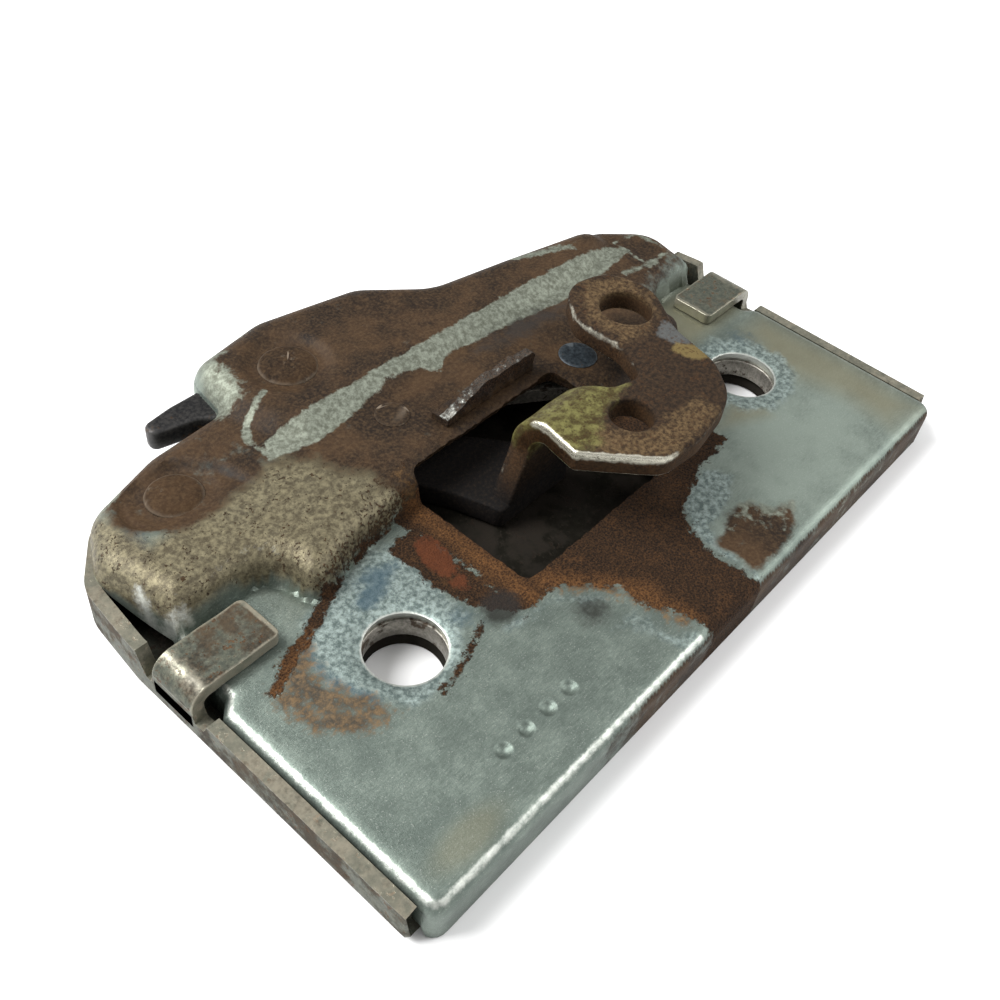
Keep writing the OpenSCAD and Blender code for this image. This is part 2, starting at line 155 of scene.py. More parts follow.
def shrink(corners, d):
    """The corners moved inward by d along their bisectors; convex radii shrink, concave ones grow."""
    out = []
    count = len(corners)
    for i in range(count):
        a, b, c = (np.array(corners[k % count][:2], float) for k in (i - 1, i, i + 1))
        e = (b - a) / np.linalg.norm(b - a)
        f = (c - b) / np.linalg.norm(c - b)
        n1, n2 = np.array([-e[1], e[0]]), np.array([-f[1], f[0]])
        moved = b + (n1 + n2) * d / (1 + n1 @ n2)
        convex = e[0] * f[1] - e[1] * f[0] > 0
        radius = max(.08, corners[i][2] + (-d if convex else d))
        out.append([moved[0], moved[1], radius])
    return out


def circle(middle, radius, count=96):
    """Points round a circle."""
    angle = np.linspace(0, 2 * math.pi, count, endpoint=False)
    return np.asarray(middle) + radius * np.stack([np.cos(angle), np.sin(angle)], 1)


def arc(middle, radius, start, end, count):
    """Points on an arc between two angles in degrees."""
    angle = np.radians(np.linspace(start, end, count))
    return np.asarray(middle) + radius * np.stack([np.cos(angle), np.sin(angle)], 1)


def evenly(loop, step):
    """Points one step apart along a closed loop, by its running length."""
    closed = np.vstack([loop, loop[:1]])
    run = np.concatenate([[0], np.cumsum(np.linalg.norm(np.diff(closed, axis=0), axis=1))])
    at = np.linspace(0, run[-1], max(12, int(run[-1] / step)), endpoint=False)
    return np.stack([np.interp(at, run, closed[:, 0]), np.interp(at, run, closed[:, 1])], 1)


def depth_inside(points, loop):
    """Distance from each point to a closed loop, positive inside it: the nearest point of every side,
    with the sign from how many sides a ray to the right crosses."""
    a, b = loop, np.roll(loop, -1, axis=0)
    side = b - a
    length2 = np.maximum((side ** 2).sum(1), 1e-12)
    out = np.empty(len(points))
    for i in range(0, len(points), 4000):
        p = points[i:i + 4000, None, :]
        t = np.clip(((p - a) * side).sum(2) / length2, 0, 1)
        near = np.sqrt((((a + t[..., None] * side) - p) ** 2).sum(2).min(1))
        rises = (a[:, 1] > p[..., 1]) != (b[:, 1] > p[..., 1])
        dy = np.where(np.abs(side[:, 1]) < 1e-12, 1e-12, side[:, 1])
        crosses = rises & (p[..., 0] < a[:, 0] + (p[..., 1] - a[:, 1]) / dy * side[:, 0])
        out[i:i + 4000] = np.where(crosses.sum(1) % 2 == 1, near, -near)
    return out


def blend_max(a, b, width):
    """The larger of two heights, with the crease between them rounded over that width."""
    share = np.clip(.5 + .5 * (a - b) / width, 0, 1)
    return b + (a - b) * share + width * share * (1 - share)


def shoulder(depth, top, drop, reach):
    """A quarter ellipse that falls by drop over the last reach of depth, then steeply outside it."""
    t = 1 - np.clip(depth / reach, 0, 1)
    return top - drop * (1 - np.sqrt(1 - t * t)) + np.minimum(depth, 0) * 8


def smooth(x, low, high):
    """0 below low, 1 above high, an S-curve between."""
    t = np.clip((x - low) / (high - low), 0, 1)
    return t * t * (3 - 2 * t)


def ripple(points, length, seed):
    """Uneven surface from -1 to 1: a sum of nine sine waves of about that length in seeded directions."""
    rng = np.random.default_rng(seed)
    total = np.zeros(len(points))
    for _ in range(9):
        angle = rng.uniform(0, 2 * math.pi)
        wave = length * rng.uniform(.6, 1.7)
        along = points[:, 0] * math.cos(angle) + points[:, 1] * math.sin(angle)
        total += np.sin(along * 2 * math.pi / wave + rng.uniform(0, 6.28))
    return total / 4.5


def fill_points(loop, holes, spacing, margin):
    """Staggered grid points inside a loop and outside its holes, a margin away from both."""
    lo, hi = loop.min(0), loop.max(0)
    rows = np.arange(lo[1], hi[1], spacing * .866)
    columns = np.arange(lo[0], hi[0], spacing)
    x, y = np.meshgrid(columns, rows)
    x = x + (np.arange(len(rows)) % 2)[:, None] * spacing / 2
    points = np.stack([x.ravel(), y.ravel()], 1)
    keep = depth_inside(points, loop) > margin
    for hole, room in holes:
        keep &= depth_inside(points, hole) < -room
    return points[keep]


def triangulate(border, holes, extra):
    """Delaunay triangles over the border, the holes' edges and the extra points, with the border's and
    the holes' own edges kept. Returns points, triangles and each edge loop's point numbers."""
    loops = [border] + holes
    starts = np.cumsum([0] + [len(p) for p in loops])
    points = np.vstack(loops + extra)
    edges = [(s + k, s + (k + 1) % len(p)) for s, p in zip(starts, loops) for k in range(len(p))]
    made = delaunay_2d_cdt([Vector(p) for p in points], edges, [], 0, 1e-6)
    flat = np.array([tuple(p) for p in made[0]])
    faces = np.array(made[2])
    owner = np.zeros(len(points), int)
    sizes = [len(o) for o in made[3]]
    owner[np.concatenate(made[3]).astype(int)] = np.repeat(np.arange(len(sizes)), sizes)
    middles = flat[faces].mean(1)
    keep = depth_inside(middles, border) > 0
    for hole in holes:
        keep &= depth_inside(middles, hole) < 0
    faces = faces[keep]
    a, b, c = (flat[faces[:, k]] for k in range(3))
    turned = (b[:, 0] - a[:, 0]) * (c[:, 1] - a[:, 1]) - (b[:, 1] - a[:, 1]) * (c[:, 0] - a[:, 0]) < 0
    faces[turned] = faces[turned][:, ::-1]
    used, packed = np.unique(faces, return_inverse=True)
    renumber = np.full(len(flat), -1)
    renumber[used] = np.arange(len(used))
    rings = [renumber[owner[s:s + len(p)]] for s, p in zip(starts, loops)]
    return flat[used], packed.reshape(-1, 3), rings


def strip_faces(ring_a, ring_b, closed=True):
    """Four-sided faces between two rows of point numbers."""
    a, b = np.asarray(ring_a), np.asarray(ring_b)
    if closed:
        return np.stack([a, b, np.roll(b, -1), np.roll(a, -1)], 1)
    return np.stack([a[:-1], b[:-1], b[1:], a[1:]], 1)


# ---- meshes ----
def place(points):
    """Plan and height in millimetres to the shared frame in metres."""
    return (np.asarray(points, float) + [CORNER[0], CORNER[1], 0]) * MM


def piece(name, points, faces, body, material, stands_for=(), masks=None):
    """One finished piece: its mesh in place, its masks as point attributes, riding on its body."""
    mesh = bpy.data.meshes.new(name)
    corners = [list(map(int, f)) for group in faces for f in group]
    mesh.from_pydata(place(points).tolist(), [], corners)
    mesh.polygons.foreach_set("use_smooth", [True] * len(mesh.polygons))
    for key, values in (masks or {}).items():
        attribute = mesh.attributes.new(key, "FLOAT", "POINT")
        attribute.data.foreach_set("value", np.clip(values, 0, 1).astype(np.float32))
    mesh.update()
    made = bpy.data.objects.new(name, mesh)
    bpy.context.scene.collection.objects.link(made)
    made.data.materials.append(material)
    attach(made, body)
    if stands_for:
        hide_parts(*stands_for)
    return made


def thicken(made, thickness, offset=-1):
    """Gives a surface its sheet thickness behind it."""
    wall = made.modifiers.new("sheet", "SOLIDIFY")
    wall.thickness = thickness * MM
    wall.offset = offset
    wall.use_rim = True


def soften(made, width, segments=2, angle=40, weld=False):
    """Rounds every edge sharper than the angle."""
    if weld:
        join = made.modifiers.new("weld", "WELD")
        join.merge_threshold = 1e-6
    bevel = made.modifiers.new("edges", "BEVEL")
    bevel.width = width * MM
    bevel.segments = segments
    bevel.limit_method = "ANGLE"
    bevel.angle_limit = math.radians(angle)
    bevel.harden_normals = True
    bevel.use_clamp_overlap = True


def carve(made, cutter_points, cutter_faces):
    """Cuts a closed shape out of a piece and keeps the result as its own mesh."""
    mesh = bpy.data.meshes.new("cutter")
    faces = [list(map(int, f)) for group in cutter_faces for f in group]
    mesh.from_pydata(place(cutter_points).tolist(), [], faces)
    tool = bpy.data.objects.new("cutter", mesh)
    bpy.context.scene.collection.objects.link(tool)
    cut = made.modifiers.new("cut", "BOOLEAN")
    cut.operation = "DIFFERENCE"
    cut.solver = "EXACT"
    cut.object = tool
    settle(made)
    bpy.data.objects.remove(tool)


def settle(made):
    """Applies a piece's modifiers to its mesh."""
    bpy.context.view_layer.update()
    graph = bpy.context.evaluated_depsgraph_get()
    done = bpy.data.meshes.new_from_object(made.evaluated_get(graph))
    made.modifiers.clear()
    made.data = done


def turned(name, profile, middle, body, slot, material, stands_for=(), count=96, hammered=0):
    """A lathed piece: profile points [radius, height] carried round a plan centre; hammered is how far
    the blows leave the upper face uneven."""
    profile = np.array(profile, float)
    angle = np.linspace(0, 2 * math.pi, count, endpoint=False)
    r = np.repeat(profile[:, 0], count)
    x = middle[0] + r * np.tile(np.cos(angle), len(profile))
    y = middle[1] + r * np.tile(np.sin(angle), len(profile))
    z = np.repeat(profile[:, 1], count)
    dents = ripple(np.stack([x, y], 1), 2.2, 5) * hammered * (z > profile[:, 1].max() - 1.2)
    points = np.stack([x, y, z + np.minimum(dents, 0)], 1)
    rows = np.arange(len(points)).reshape(len(profile), count)
    faces = [strip_faces(rows[k + 1], rows[k]) for k in range(len(profile) - 1)]
    made = piece(name, points, faces, body, material, stands_for)
    join = made.modifiers.new("weld", "WELD")
    join.merge_threshold = 1e-6
    settle(made)
    return made


def slab(corners, holes, z0, z1, edge, spacing=.7):
    """A plate with rounded edges: over its outline the top falls by a quarter circle of radius edge at
    every border, the underside mirrors it, and an upright wall joins the two. Holes are closed loops.
    Returns points, faces, plan points and a mask of the wall."""
    steps = [0, .15, .45, 1]
    rings = [evenly(rounded(shrink(corners, edge * s)), spacing * .8) for s in steps]
    border = rings[0]
    grown = []
    for middle, radius in holes:
        grown += [circle(middle, radius + edge * s, 72) for s in steps]
    hole_loops = [grown[4 * k] for k in range(len(holes))]
    extra = rings[1:] + [g for k, g in enumerate(grown) if k % 4]
    room = [(circle(m, r, 72), edge + .3) for m, r in holes]
    extra.append(fill_points(border, room, spacing, edge + .3))
    flat, faces, loops = triangulate(border, hole_loops, extra)
    depth = depth_inside(flat, border)
    for loop in hole_loops:
        depth = np.minimum(depth, -depth_inside(flat, loop))
    depth = np.maximum(depth, 0)
    for loop in loops:
        depth[loop] = 0
    t = 1 - np.clip(depth / edge, 0, 1)
    fall = edge * (1 - np.sqrt(1 - t * t))
    count = len(flat)
    top = np.column_stack([flat, z1 - fall])
    low = np.column_stack([flat, z0 + fall])
    points = [top, low]
    groups = [faces, faces[:, ::-1] + count]
    plan = [flat, flat]
    start = 2 * count
    wall = [np.zeros(2 * count)]
    for k, loop in enumerate(loops):
        size = len(loop)
        middle = np.column_stack([flat[loop], np.full(size, (z0 + z1) / 2)])
        points.append(middle)
        plan.append(flat[loop])
        wall.append(np.ones(size))
        row = start + np.arange(size)
        upper, lower = strip_faces(loop, row), strip_faces(row, loop + count)
        if k:
            upper, lower = upper[:, ::-1], lower[:, ::-1]
        groups += [upper, lower]
        start += size
    wall = np.concatenate(wall)
    for loop in loops:
        wall[loop] = .6
        wall[loop + count] = 1
    return np.vstack(points), groups, np.vstack(plan), wall


# ---- stains, wear and painted highlight and shade: zones on the plan ----
def zone(points, corners, feather=1.5):
    """A stain's mask: 0.5 on its outline, 1 a feather inside, 0 a feather outside."""
    return np.clip(.5 + depth_inside(points, np.array(corners, float)) / (2 * feather), 0, 1)


def spot(points, x, y, rx, ry, turn=0, feather=1):
    """An oval stain's mask, in the same terms as zone()."""
    c, s = math.cos(math.radians(turn)), math.sin(math.radians(turn))
    dx, dy = points[:, 0] - x, points[:, 1] - y
    r = np.hypot((dx * c + dy * s) / rx, (-dx * s + dy * c) / ry)
    return np.clip(.5 + (1 - r) * min(rx, ry) / (2 * feather), 0, 1)


def line(points, path, width, feather=.6):
    """A streak's mask along a path of points."""
    best = np.full(len(points), 1e9)
    for a, b in zip(path[:-1], path[1:]):
        a, b = np.array(a, float), np.array(b, float)
        t = np.clip(((points - a) @ (b - a)) / ((b - a) @ (b - a)), 0, 1)
        best = np.minimum(best, np.linalg.norm(points - a - t[:, None] * (b - a), axis=1))
    return np.clip(.5 + (width / 2 - best) / (2 * feather), 0, 1)


def most(*masks):
    """The strongest of several masks at each point."""
    return np.maximum.reduce(masks)


def cover_stains(p, z, depth_mid):
    """Where the cover is rusted, filmed, pale or worn, and where highlight and shade are painted on, as one
    mask per effect.
    """
    low = smooth(LOW_TOP + 1.6 - z, 0, 1)
    raised = 1 - low
    rust = most(
        zone(p, [[28.4, 15], [33, 15.5], [36, 13.6], [38.4, 10.5], [38.8, 7], [40.6, 3.5], [41, -2],
                 [50.4, -2], [49.6, 5], [50.4, 9.4], [53, 12.6], [60, 14.8], [66, 15], [66.4, 19],
                 [60, 27], [58, 36], [30, 38], [28, 34], [29, 25]]),
        zone(p, [[24.6, 31], [29, 31], [29, 15], [26, 19], [24.4, 24]], 1.2) * .9,
        line(p, [[5, 25.5], [9, 27.6], [14, 29.4], [19, 32], [26, 33], [31, 34]], 1.3, .9) * .95,
        line(p, [[16, 14.6], [20, 15.4], [24.5, 17.4]], 1, .8) * .8)
    rust = rust * (low + raised * .35)
    orange = most(
        zone(p, [[3.5, 25], [4.5, 19], [8, 16], [12.6, 15.4], [11.4, 19], [9.4, 23], [11.4, 28.4],
                 [8, 28]], 1.6) * .72,
        line(p, [[33.4, 16.4], [37, 12], [39.4, 8], [39.8, 3]], 2.2, 1.4) * .8,
        line(p, [[30.8, 16], [30.8, 35]], 2, 1) * .75)
    film = most(
        zone(p, [[30, 33], [26.5, 39], [24.4, 43.6], [21, 46.4], [20, 50], [14, 56.5], [24, 58],
                 [30, 68], [96, 58], [94, 40], [79, 37], [79, 25], [52, 25], [52, 30], [30, 30]], 2.2)
        * raised,
        zone(p, [[5, 47], [5.6, 54.5], [17, 55.5], [22, 52], [20.5, 44.6], [10, 43.8]], 1.2) * .92,
        zone(p, [[51, 6.4], [56, 8.4], [59.4, 7.6], [60.2, 5], [63, 4], [60, 1.8], [55, 1],
                 [51.2, 1.6]], .9) * .95,
        (p[:, 1] < .35) * smooth(p[:, 0], 14, 34) * .8)
    # pale: rust film worn through to zinc; the strip along the high ridge's front shoulder is also a painted
    # highlight on that bend
    pale = most(
        zone(p, [[21.8, 45.8], [23.4, 48.2], [30, 48.2], [45, 47.8], [60, 47.6], [70, 47.2],
                 [82, 46.2], [84, 44], [78, 43.2], [68, 42.6], [60, 44], [48, 45.2], [46, 43.6],
                 [44.6, 45.4], [40, 46.4], [34, 45.2], [27, 44.6]], .7),
        line(p, [[22.4, 46.6], [22, 49.4], [23.6, 51.6], [27.6, 53.4]], .9, .6) * .9,
        zone(p, [[22, 53.4], [26.4, 54.4], [27.6, 57.4], [27.8, 61], [31, 63], [40, 63.4], [40, 67],
                 [24, 66], [21, 58]], 1.4) * .7,
        line(p, [[69, 52], [72.5, 50.6], [76.5, 49]], 1.6, .9) * .8,
        line(p, [[83, 40.4], [83.4, 46.4], [88, 45.8], [88, 40.2], [83, 40.4]], .7, .6) * .75,
        line(p, [[79, 41], [84, 40]], 1.6, .8) * .7,
        spot(p, 72, 9, 16, 9, 0, 5) * .8 * low,
        line(p, [[1, 37.5], [.8, 44], [3.4, 50.6], [8, 54]], 4, 1.6) * .5)
    bloom = most(
        zone(p, [[9.6, 26.4], [12, 30], [17, 31.2], [23, 31.6], [26.6, 30.6], [25.6, 28],
                 [25, 24], [24.6, 19.6], [20, 15.6], [13, 15], [11.4, 18.6], [9, 22]], 1.6)
        * .95,
        spot(p, 78.2, 20.7, 7.2, 7, 0, 1.8) * .9,
        zone(p, [[33, 8], [38, 8.4], [38, 3], [40.6, 2], [40, 0], [36, .6], [35, 4]], 1.2) * .5,
        zone(p, [[50.4, 9.4], [54, 13.6], [60, 14.6], [62, 11], [57, 9], [53, 8.4], [51.2, 6.4],
                 [51, 0], [50, 0]], 1) * .8,
        line(p, [[26, 15], [32, 14.4], [36, 10.6]], 1.6, 1) * .55) * low
    blue = most(
        spot(p, 19.6, 27.6, 2.6, 1.1, 10), spot(p, 21.6, 29, 2.2, 1, -10) * .9,
        line(p, [[10.2, 27], [9.6, 23], [11, 18]], 1.1, .8) * .7,
        spot(p, 24, 19, 1.4, 1.8, 0) * .6, spot(p, 84.6, 24.6, 2, 2.4) * .35,
        spot(p, 4.8, 45.8, 1.3, 3, -18, .8) * .9)
    tan = most(
        zone(p, [[82, 18], [84, 9], [83.4, 2], [90, 1], [91.4, 12], [91, 26], [86, 26]], 3) * .8,
        zone(p, [[66, 17], [74, 13.4], [76, 15], [72, 19]], 1.6) * .7,
        spot(p, 85.4, 20.4, 1.6, 1.2) * .9, spot(p, 7, 3, 5, 2) * .5,
        zone(p, [[77, 28], [92, 28], [92, 37], [78, 37]], 2) * .75)
    olive = zone(p, [[2, 35], [-1, 40], [-1, 50], [5, 54], [6, 44.6], [19, 46], [25, 46.4],
                     [29, 42], [32, 36], [33, 32], [15, 29], [9, 28], [9, 36]], 2.4)
    olive *= .25 + .75 * raised
    # dark spots and smears; the line along the recess's sharp right edge is painted shade in that crease
    dark = most(
        spot(p, 27.6, 17.4, 2.6, 2, 10) * .85, spot(p, 60, 42.6, 8, 1.8, -4, 1.6) * .75,
        spot(p, 34, 11, 2.4, 2.6, 40, 1.6) * .62, spot(p, 48, 60, 3, 1.4, -20, 1.4) * .5,
        line(p, [[18.6, 44], [17.6, 49], [14.6, 52.6]], .5, .5) * .8)
    red = most(spot(p, 27.6, 26.6, 1.5, 3, -12, .8), spot(p, 27, 22.6, 1.1, 1.4, 0, .8) * .7)
    # worn edges and painted highlight: the screw-hole rims are worn, the band on the front-left rim's bend
    # and the line round the left notch are both wear and painted highlight, the step's shoulder by the left
    # tab is painted highlight
    wear = most(
        np.clip(1 - np.abs(depth_inside(p, rounded(COVER)) - .7) / .6, 0, 1) * low
        * (p[:, 0] < 40) * .8,
        line(p, [[2.2, 42], [1.8, 39], [2.8, 37.4], [4.4, 37]], .9, .5) * .7,
        np.clip(1 - np.abs(depth_mid - 1.6) / 1.6, 0, 1) * smooth(16.5 - p[:, 0], 0, 2)
        * smooth(p[:, 1], 28, 30) * smooth(39.5 - p[:, 1], 0, 1.5) * .3)
    for middle in SCREWS:
        r = np.linalg.norm(p - middle, axis=1) - SCREW_R
        wear = most(wear, np.clip(1 - r / .45, 0, 1) * .8)
    return dict(rust=rust, orange=orange, film=film, pale=pale, bloom=bloom, blue=blue, tan=tan,
                olive=olive, dark=dark, red=red, wear=wear)


def lever_stains(p, wall):
    """Where the release lever is yellow, rusty, blue or worn bright, and where it is darkened as painted
    shade inside the case.
    """
    yellow = zone(p, [[41, 21], [41, 30], [49, 30], [52.6, 25.4], [54, 23.6], [51.6, 23],
                      [47.6, 22.6], [44, 19.6]], 1.6)
    tan = most(zone(p, [[43, 18], [48, 13], [58, 13.6], [58, 17], [53, 17], [50, 17], [47, 20],
                        [46, 22], [43, 20]], 1.6) * .9,
               zone(p, [[59, 28], [59.4, 33], [62, 37.6], [66, 38.6], [70, 36], [69.6, 31],
                        [66, 28], [62, 27]], 1.6) * .8)
    blue = zone(p, [[63.4, 26.4], [66.4, 27.6], [67, 24.6], [65, 22.6], [63.6, 24]], .7)
    gold = zone(p, [[62.4, 23.6], [64, 24], [65.6, 22], [65, 19.6], [63, 21]], .7)
    edge = np.clip(1 - depth_inside(p, rounded(ARM)) / .5, 0, 1)
    bend_rim = smooth(52 - p[:, 0], 0, 6) * smooth(27.5 - p[:, 1], 0, 2)
    hook_rim = smooth(62 - p[:, 0], 0, 2) * smooth(p[:, 1], 27, 29) * smooth(p[:, 0], 52, 54)
    bright = edge * np.maximum(most(bend_rim, .5 * hook_rim), .25) * (wall < .9)
    # painted shade: the stem darkens as it runs down into the case
    painted_shade = smooth(p[:, 1], 31, 37) * (p[:, 0] < 54)
    return dict(yellow=yellow, tan=tan, blue=blue, gold=gold, bright=bright, side=wall, painted_shade=painted_shade)


# ---- shader building blocks ----
def node(tree, kind, values=None, **settings):
    """Adds a node: settings are its own properties, values its inputs, linked where they are sockets."""
    made = tree.nodes.new(kind)
    for key, value in settings.items():
        setattr(made, key, value)
    for key, value in (values or {}).items():
        if isinstance(value, bpy.types.NodeSocket):
            tree.links.new(value, made.inputs[key])
        else:
            made.inputs[key].default_value = value
    return made


def calc(tree, operation, a, b=0.0, clamp=False):
    """One arithmetic step."""
    return node(tree, "ShaderNodeMath", {0: a, 1: b}, operation=operation, use_clamp=clamp).outputs[0]


def mix(tree, factor, a, b):
    """One colour laid over another."""
    rgba = [v if isinstance(v, bpy.types.NodeSocket) else (*v, 1) for v in (a, b)]
    return node(tree, "ShaderNodeMix", {0: factor, 6: rgba[0], 7: rgba[1]}, data_type="RGBA").outputs[2]


def lerp(tree, factor, a, b):
    """One number laid over another."""
    return node(tree, "ShaderNodeMix", {0: factor, 2: a, 3: b}, data_type="FLOAT").outputs[0]


def grain(tree, vector, scale, detail=4.0, rough=.55, distort=0.0):
    """Plain noise from 0 to 1."""
    return node(tree, "ShaderNodeTexNoise", {"Vector": vector, "Scale": scale, "Detail": detail,
                "Roughness": rough, "Distortion": distort}).outputs[0]


def step(tree, value, low, high):
    """A soft threshold."""
    return node(tree, "ShaderNodeMapRange", {0: value, 1: low, 2: high}, interpolation_type="SMOOTHSTEP"
                ).outputs[0]


def new_group(name, inputs, outputs):
    """An empty shader group with named sockets; inputs are (name, kind, default)."""
    tree = bpy.data.node_groups.new(name, "ShaderNodeTree")
    for label, kind, default in inputs:
        socket = tree.interface.new_socket(name=label, in_out="INPUT", socket_type=kind)
        if default is not None:
            socket.default_value = default
    for label, kind in outputs:
        tree.interface.new_socket(name=label, in_out="OUTPUT", socket_type=kind)
    return tree, tree.nodes.new("NodeGroupInput").outputs, tree.nodes.new("NodeGroupOutput").inputs


def use(tree, group, values):
    """Places a group in a material."""
    made = tree.nodes.new("ShaderNodeGroup")
    made.node_tree = group
    for key, value in values.items():
        if isinstance(value, bpy.types.NodeSocket):
            tree.links.new(value, made.inputs[key])
        else:
            made.inputs[key].default_value = value
    return made.outputs


FLOAT, COLOUR, VECTOR = "NodeSocketFloat", "NodeSocketColor", "NodeSocketVector"


def build_ragged():
    """Turns a soft mask into a stain with a ragged edge."""
    inputs = [("Vector", VECTOR, None), ("Mask", FLOAT, 0), ("Scale", FLOAT, 1), ("Spread", FLOAT, .8),
              ("Soft", FLOAT, .1)]
    tree, i, o = new_group("ragged edge", inputs, [("Mask", FLOAT)])
    broad = grain(tree, i["Vector"], i["Scale"], 7, .68)
    pushed = calc(tree, "MULTIPLY", calc(tree, "SUBTRACT", broad, .5), i["Spread"])
    value = calc(tree, "ADD", i["Mask"], calc(tree, "MULTIPLY", pushed, 1.6))
    low = calc(tree, "SUBTRACT", .5, i["Soft"])
    high = calc(tree, "ADD", .5, i["Soft"])
    tree.links.new(step(tree, value, low, high), o["Mask"])
    return tree


def build_specks():
    """Small dark dots, denser where Density is higher."""
    tree, i, o = new_group("specks", [("Vector", VECTOR, None), ("Density", FLOAT, .3),
                           ("Scale", FLOAT, 3)], [("Mask", FLOAT)])
    dots = grain(tree, i["Vector"], i["Scale"], 3, .6)
    patches = grain(tree, i["Vector"], calc(tree, "MULTIPLY", i["Scale"], .22), 3, .6)
    value = calc(tree, "ADD", dots, calc(tree, "MULTIPLY", calc(tree, "SUBTRACT", patches, .5), .5))
    edge = calc(tree, "SUBTRACT", .82, calc(tree, "MULTIPLY", i["Density"], .5))
    tree.links.new(step(tree, value, edge, calc(tree, "ADD", edge, .06)), o["Mask"])
    return tree


def build_rust():
    """Granular rust: its colour from near black through brown to orange, and its height."""
    tree, i, o = new_group("granular rust", [("Vector", VECTOR, None), ("Orange", FLOAT, 0)],
                           [("Color", COLOUR), ("Height", FLOAT)])
    fine = grain(tree, i["Vector"], 5.5, 4, .7)
    cells = {"Vector": i["Vector"], "Scale": 3.4, "Randomness": 1}
    crumbs = node(tree, "ShaderNodeTexVoronoi", cells).outputs[0]
    broad = grain(tree, i["Vector"], .45, 4, .6)
    tone = calc(tree, "ADD", calc(tree, "MULTIPLY", fine, .9), calc(tree, "MULTIPLY", crumbs, .25))
    brown = mix(tree, step(tree, tone, .4, .78), (.006, .0033, .002), (.055, .027, .011))
    warm = mix(tree, step(tree, tone, .35, .8), (.03, .013, .005), (.19, .085, .028))
    patchy = calc(tree, "MULTIPLY", calc(tree, "SUBTRACT", broad, .5), .9)
    share = calc(tree, "ADD", i["Orange"], patchy, True)
    tree.links.new(mix(tree, share, brown, warm), o["Color"])
    tree.links.new(calc(tree, "ADD", fine, calc(tree, "MULTIPLY", crumbs, -.6)), o["Height"])
    return tree


def build_film():
    """Thin brown rust film: cloudy colour with fine scratches across it."""
    tree, i, o = new_group("rust film", [("Vector", VECTOR, None)], [("Color", COLOUR), ("Height", FLOAT)])
    cloudy = grain(tree, i["Vector"], .16, 5, .62)
    fine = grain(tree, i["Vector"], 2.6, 5, .7)
    squeezed = node(tree, "ShaderNodeMapping", {"Vector": i["Vector"], "Rotation": (0, 0, .5),
                    "Scale": (.25, 3.2, 1)}).outputs[0]
    scratch = step(tree, grain(tree, squeezed, 1.2, 4, .7), .56, .72)
    base = mix(tree, step(tree, cloudy, .36, .64), (.008, .004, .0018), (.038, .02, .0085))
    grainy = mix(tree, step(tree, fine, .38, .72), base, mix(tree, .5, base, (.085, .052, .025)))
    tree.links.new(mix(tree, calc(tree, "MULTIPLY", scratch, .3), grainy, (.025, .015, .008)), o["Color"])
    tree.links.new(fine, o["Height"])
    return tree


def build_zinc():
    """Clean zinc-plated sheet: rolled grain along one way, cloudy tone and a little sparkle."""
    tree, i, o = new_group("zinc sheet", [("Vector", VECTOR, None), ("Tone", FLOAT, .5)],
                           [("Color", COLOUR), ("Roughness", FLOAT), ("Height", FLOAT)])
    drawn = node(tree, "ShaderNodeMapping", {"Vector": i["Vector"], "Rotation": (0, 0, .1),
                 "Scale": (.5, 2.6, 1)}).outputs[0]
    streak = grain(tree, drawn, 2.2, 6, .75)
    cloud = grain(tree, i["Vector"], .3, 5, .6)
    sparkle = grain(tree, i["Vector"], 7, 2, .5)
    tone = calc(tree, "ADD", calc(tree, "MULTIPLY", streak, .5), calc(tree, "MULTIPLY", cloud, .5))
    shade = step(tree, calc(tree, "ADD", tone, calc(tree, "SUBTRACT", i["Tone"], .5)), .28, .74)
    colour = mix(tree, shade, (.11, .135, .118), (.25, .295, .255))
    glint = calc(tree, "MULTIPLY", step(tree, sparkle, .6, .75), .35)
    tree.links.new(mix(tree, glint, colour, (.5, .52, .48)), o["Color"])
    tree.links.new(lerp(tree, streak, .34, .58), o["Roughness"])
    tree.links.new(calc(tree, "ADD", streak, calc(tree, "MULTIPLY", sparkle, .4)), o["Height"])
    return tree


RAGGED = build_ragged()
SPECKS = build_specks()
RUST = build_rust()
FILM = build_film()
ZINC = build_zinc()


def begin(name):
    """A new material with millimetre coordinates; returns its tree, shader and vector."""
    material = bpy.data.materials.new(name)
    material.use_nodes = True
    tree = material.node_tree
    shader = tree.nodes["Principled BSDF"]
    shader.inputs["Specular IOR Level"].default_value = .18
    where = tree.nodes.new("ShaderNodeTexCoord").outputs["Object"]
    vector = node(tree, "ShaderNodeVectorMath", {0: where, "Scale": 1000.0}, operation="SCALE").outputs[0]
    return material, tree, shader, vector


def attribute(tree, name):
    """A mask stored on the mesh."""
    return node(tree, "ShaderNodeAttribute", attribute_name=name).outputs["Fac"]


def ragged(tree, vector, mask, scale=1.0, spread=.8, soft=.1):
    """A ragged-edged stain from a mask."""
    return use(tree, RAGGED, {"Vector": vector, "Mask": mask, "Scale": scale, "Spread": spread,
                              "Soft": soft})["Mask"]


def connect(tree, shader, colour, roughness, metallic, height, strength, distance=.06):
    """Feeds the shader and the bump."""
    for key, value in (("Base Color", colour), ("Roughness", roughness), ("Metallic", metallic)):
        if isinstance(value, bpy.types.NodeSocket):
            tree.links.new(value, shader.inputs[key])
        elif key == "Base Color":
            shader.inputs[key].default_value = (*value, 1)
        else:
            shader.inputs[key].default_value = value
    bump = node(tree, "ShaderNodeBump", {"Height": height, "Strength": strength, "Distance": distance * MM})
    tree.links.new(bump.outputs[0], shader.inputs["Normal"])


